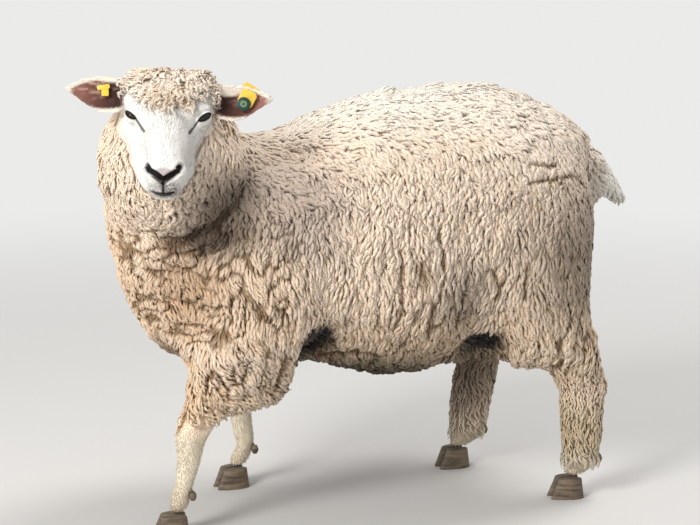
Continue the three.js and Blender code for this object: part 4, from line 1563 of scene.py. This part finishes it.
# %% Short hair and skin
hair = Finish("short_hair", Roughness=0.75, Specular_IOR_Level=0.2)
strand = hair.attribute("strand", 1)
streaks = hair.add("ShaderNodeTexNoise", {}, {"Vector": strand, "Scale": 1.3, "Detail": 2.0})
tint_by(hair, *[hair.range(streaks, 0.3, 0.7, 0.93, 1.03)] * 3)
wear(hair, *hair_pieces)

hide = Finish("haired_skin", Roughness=0.7, Specular_IOR_Level=0.2)
nap = hide.noise(420, 4, (1, 1, 0.35), 0.6)
pores = hide.noise(900, 2)
hide.bump(nap + pores * 0.4, 0.0005, 0.4)
tint_by(hide, *[hide.range(nap, 0.3, 0.7, 0.94, 1.02)] * 3)
wear(hide, skin)
print("wool, hair and skin are finished")

# %% [markdown]
# The eye has a wet coat over a dark brown iris, and its wide pupil is an ellipse in the angles kept on the
# mesh. Horn grows in rings and is rough between them. The tags are yellow plastic, faded in patches by
# scuffs, and the dark button on the left one has a pale ring.

# %% Eyes, horn and plastic
PUPIL_WIDE, PUPIL_HIGH = 22, 7
eye = Finish("wet_eye", Roughness=0.1, Specular_IOR_Level=0.2, Coat_Weight=0.4, Coat_Roughness=0.02)
level, upright, off = parts_of(eye, "gaze")
slot_shape = (level * (1 / PUPIL_WIDE)) ** 2.0 + (upright * (1 / PUPIL_HIGH)) ** 2.0
pupil = eye.range(slot_shape, 0.75, 1.1, 1.0, 0.0)
iris = eye.mix(eye.noise(1500, 2), shade(25, 15, 11), shade(44, 28, 18))
iris = eye.mix(eye.range(off, 32, 42), iris, shade(16, 11, 9))
eye.set(Base_Color=eye.mix(pupil, iris, shade(6, 5, 6)))
wear(eye, *eyeballs)

horn = Finish("claw_horn", Roughness=0.5)
rings = horn.noise(55, 3, (0.5, 0.5, 4))
tone = horn.mix(horn.range(rings, 0.3, 0.7), shade(72, 60, 48), shade(122, 106, 86))
horn.set(Base_Color=tone, Roughness=horn.range(rings, 0.2, 0.8, 0.45, 0.7))
horn.bump(rings, 0.0012, 0.7)
wear(horn, *horn_pieces)


def plastic(name, colour, dull):
    finish = Finish(name, Roughness=0.4, Specular_IOR_Level=0.4)
    grain = finish.noise(260, 3)
    scuffs = finish.range(finish.noise(60, 4, (1, 1, 3)), 0.45, 0.75)
    finish.set(Base_Color=finish.mix(scuffs * 0.5, colour, dull))
    finish.set(Roughness=finish.range(grain, 0.3, 0.7, 0.34, 0.5))
    finish.bump(grain, 0.0003, 0.4)
    return finish


for tag in tags:
    wear(plastic("tag_yellow", shade(234, 198, 72), shade(206, 172, 70)), tag)
ringed = Finish("tag_button", Roughness=0.42, Specular_IOR_Level=0.4)
from_middle = {0: ringed.add("ShaderNodeTexCoord", {}, {}, 3), 1: tuple(centre("tag_left_button"))}
outward = ringed.add("ShaderNodeVectorMath", {"operation": "DISTANCE"}, from_middle, 1) * 1000
ring = ringed.range(outward, 2.0, 2.6) * ringed.range(outward, 5.2, 6.0, 1.0, 0.0)
ringed.set(Base_Color=ringed.mix(ring, shade(24, 54, 42), shade(104, 128, 100)))
wear(ringed, button)
print("materials:", len(bpy.data.materials))

# %% [markdown]
# ## Floor and light
# The floor is plain and pale, and a Mix Shader turns it, away from the sheep, into the tone of the room, so
# that the camera sees no horizon.

# %% Floor
PALE = (0.83, 0.83, 0.82)
ground = bmesh.new()
bmesh.ops.create_grid(ground, x_segments=1, y_segments=1, size=30)
floor = new_object("floor", mesh_from(ground, "floor"))
pale = Finish("pale_floor", Roughness=0.8)
pale.set(Base_Color=(0.66, 0.655, 0.645))
spot = pale.add("ShaderNodeTexCoord", {}, {}, 3)
away = pale.add("ShaderNodeVectorMath", {"operation": "LENGTH"}, {0: spot}, 1)


def seen(finish):
    """One for what the camera sees, straight on, mirrored in gloss or through glass."""
    rays = finish.add("ShaderNodeLightPath").socket.node.outputs
    kinds = [Field(finish, rays[kind]) for kind in ("Is Camera Ray", "Is Glossy Ray", "Is Transmission Ray")]
    return finish.range(kinds[0] + kinds[1] + kinds[2], 0.0, 1.0)


backdrop = pale.range(away, 1.0, 3.2) * seen(pale)
glow = pale.add("ShaderNodeEmission", {}, {"Color": PALE})
shown = pale.add("ShaderNodeMixShader", {}, {0: backdrop, 1: Field(pale, pale.shader.outputs[0]), 2: glow})
pale.feed(pale.tree.nodes["Material Output"].inputs["Surface"], shown)
wear(pale, floor)
print("floor:", floor.name)


# %% [markdown]
# Daylight under a bright sky has a soft direction. One large lamp stands high in front on the sheep's own
# left, a weaker one above and behind, and a small low one reaches under the face. The room is even and pale:
# the camera sees it as nearly white, but it lights the sheep more gently than that.


# %% Lamps and room
SUN_COLOUR, LIT_SPOT = (1, 0.98, 0.95), Vector((0, 0, 0.4))
ROOM_LIGHT, ROOM_SEEN = 0.47, 0.83


def lamp(name, place, size, power, warmth=(1, 1, 1)):
    light = bpy.data.lights.new(name, "AREA")
    light.shape = "DISK"
    light.size = size
    light.energy = power
    light.color = warmth
    holder = new_object(name, light)
    holder.location = place
    holder.rotation_euler = (LIT_SPOT - Vector(place)).to_track_quat("-Z", "Y").to_euler()


lamp("key", (-3.1, -2.3, 2.6), 1.5, 139, SUN_COLOUR)
lamp("back", (1.5, 0.4, 3.6), 1.6, 66, SUN_COLOUR)
lamp("low", (-3.3, -1.1, 0.62), 0.8, 18)


class Room(Finish):
    """The world around, whose nodes are added in the same way."""

    def __init__(self, name):
        self.material = bpy.data.worlds.new(name)
        self.material.use_nodes = True
        self.tree = self.material.node_tree
        self.shader = self.tree.nodes["Background"]


room = Room("room")
room.set(Color=(1, 1, 1), Strength=room.range(seen(room), 0.0, 1.0, ROOM_LIGHT, ROOM_SEEN))
bpy.context.scene.world = room.material
bpy.context.scene.view_settings.view_transform = "Standard"
print("lamps and room are set")

# %% [markdown]
# ## Sizes
# The dressed sheep has to keep the size of its frame.

# %% Import json
import json
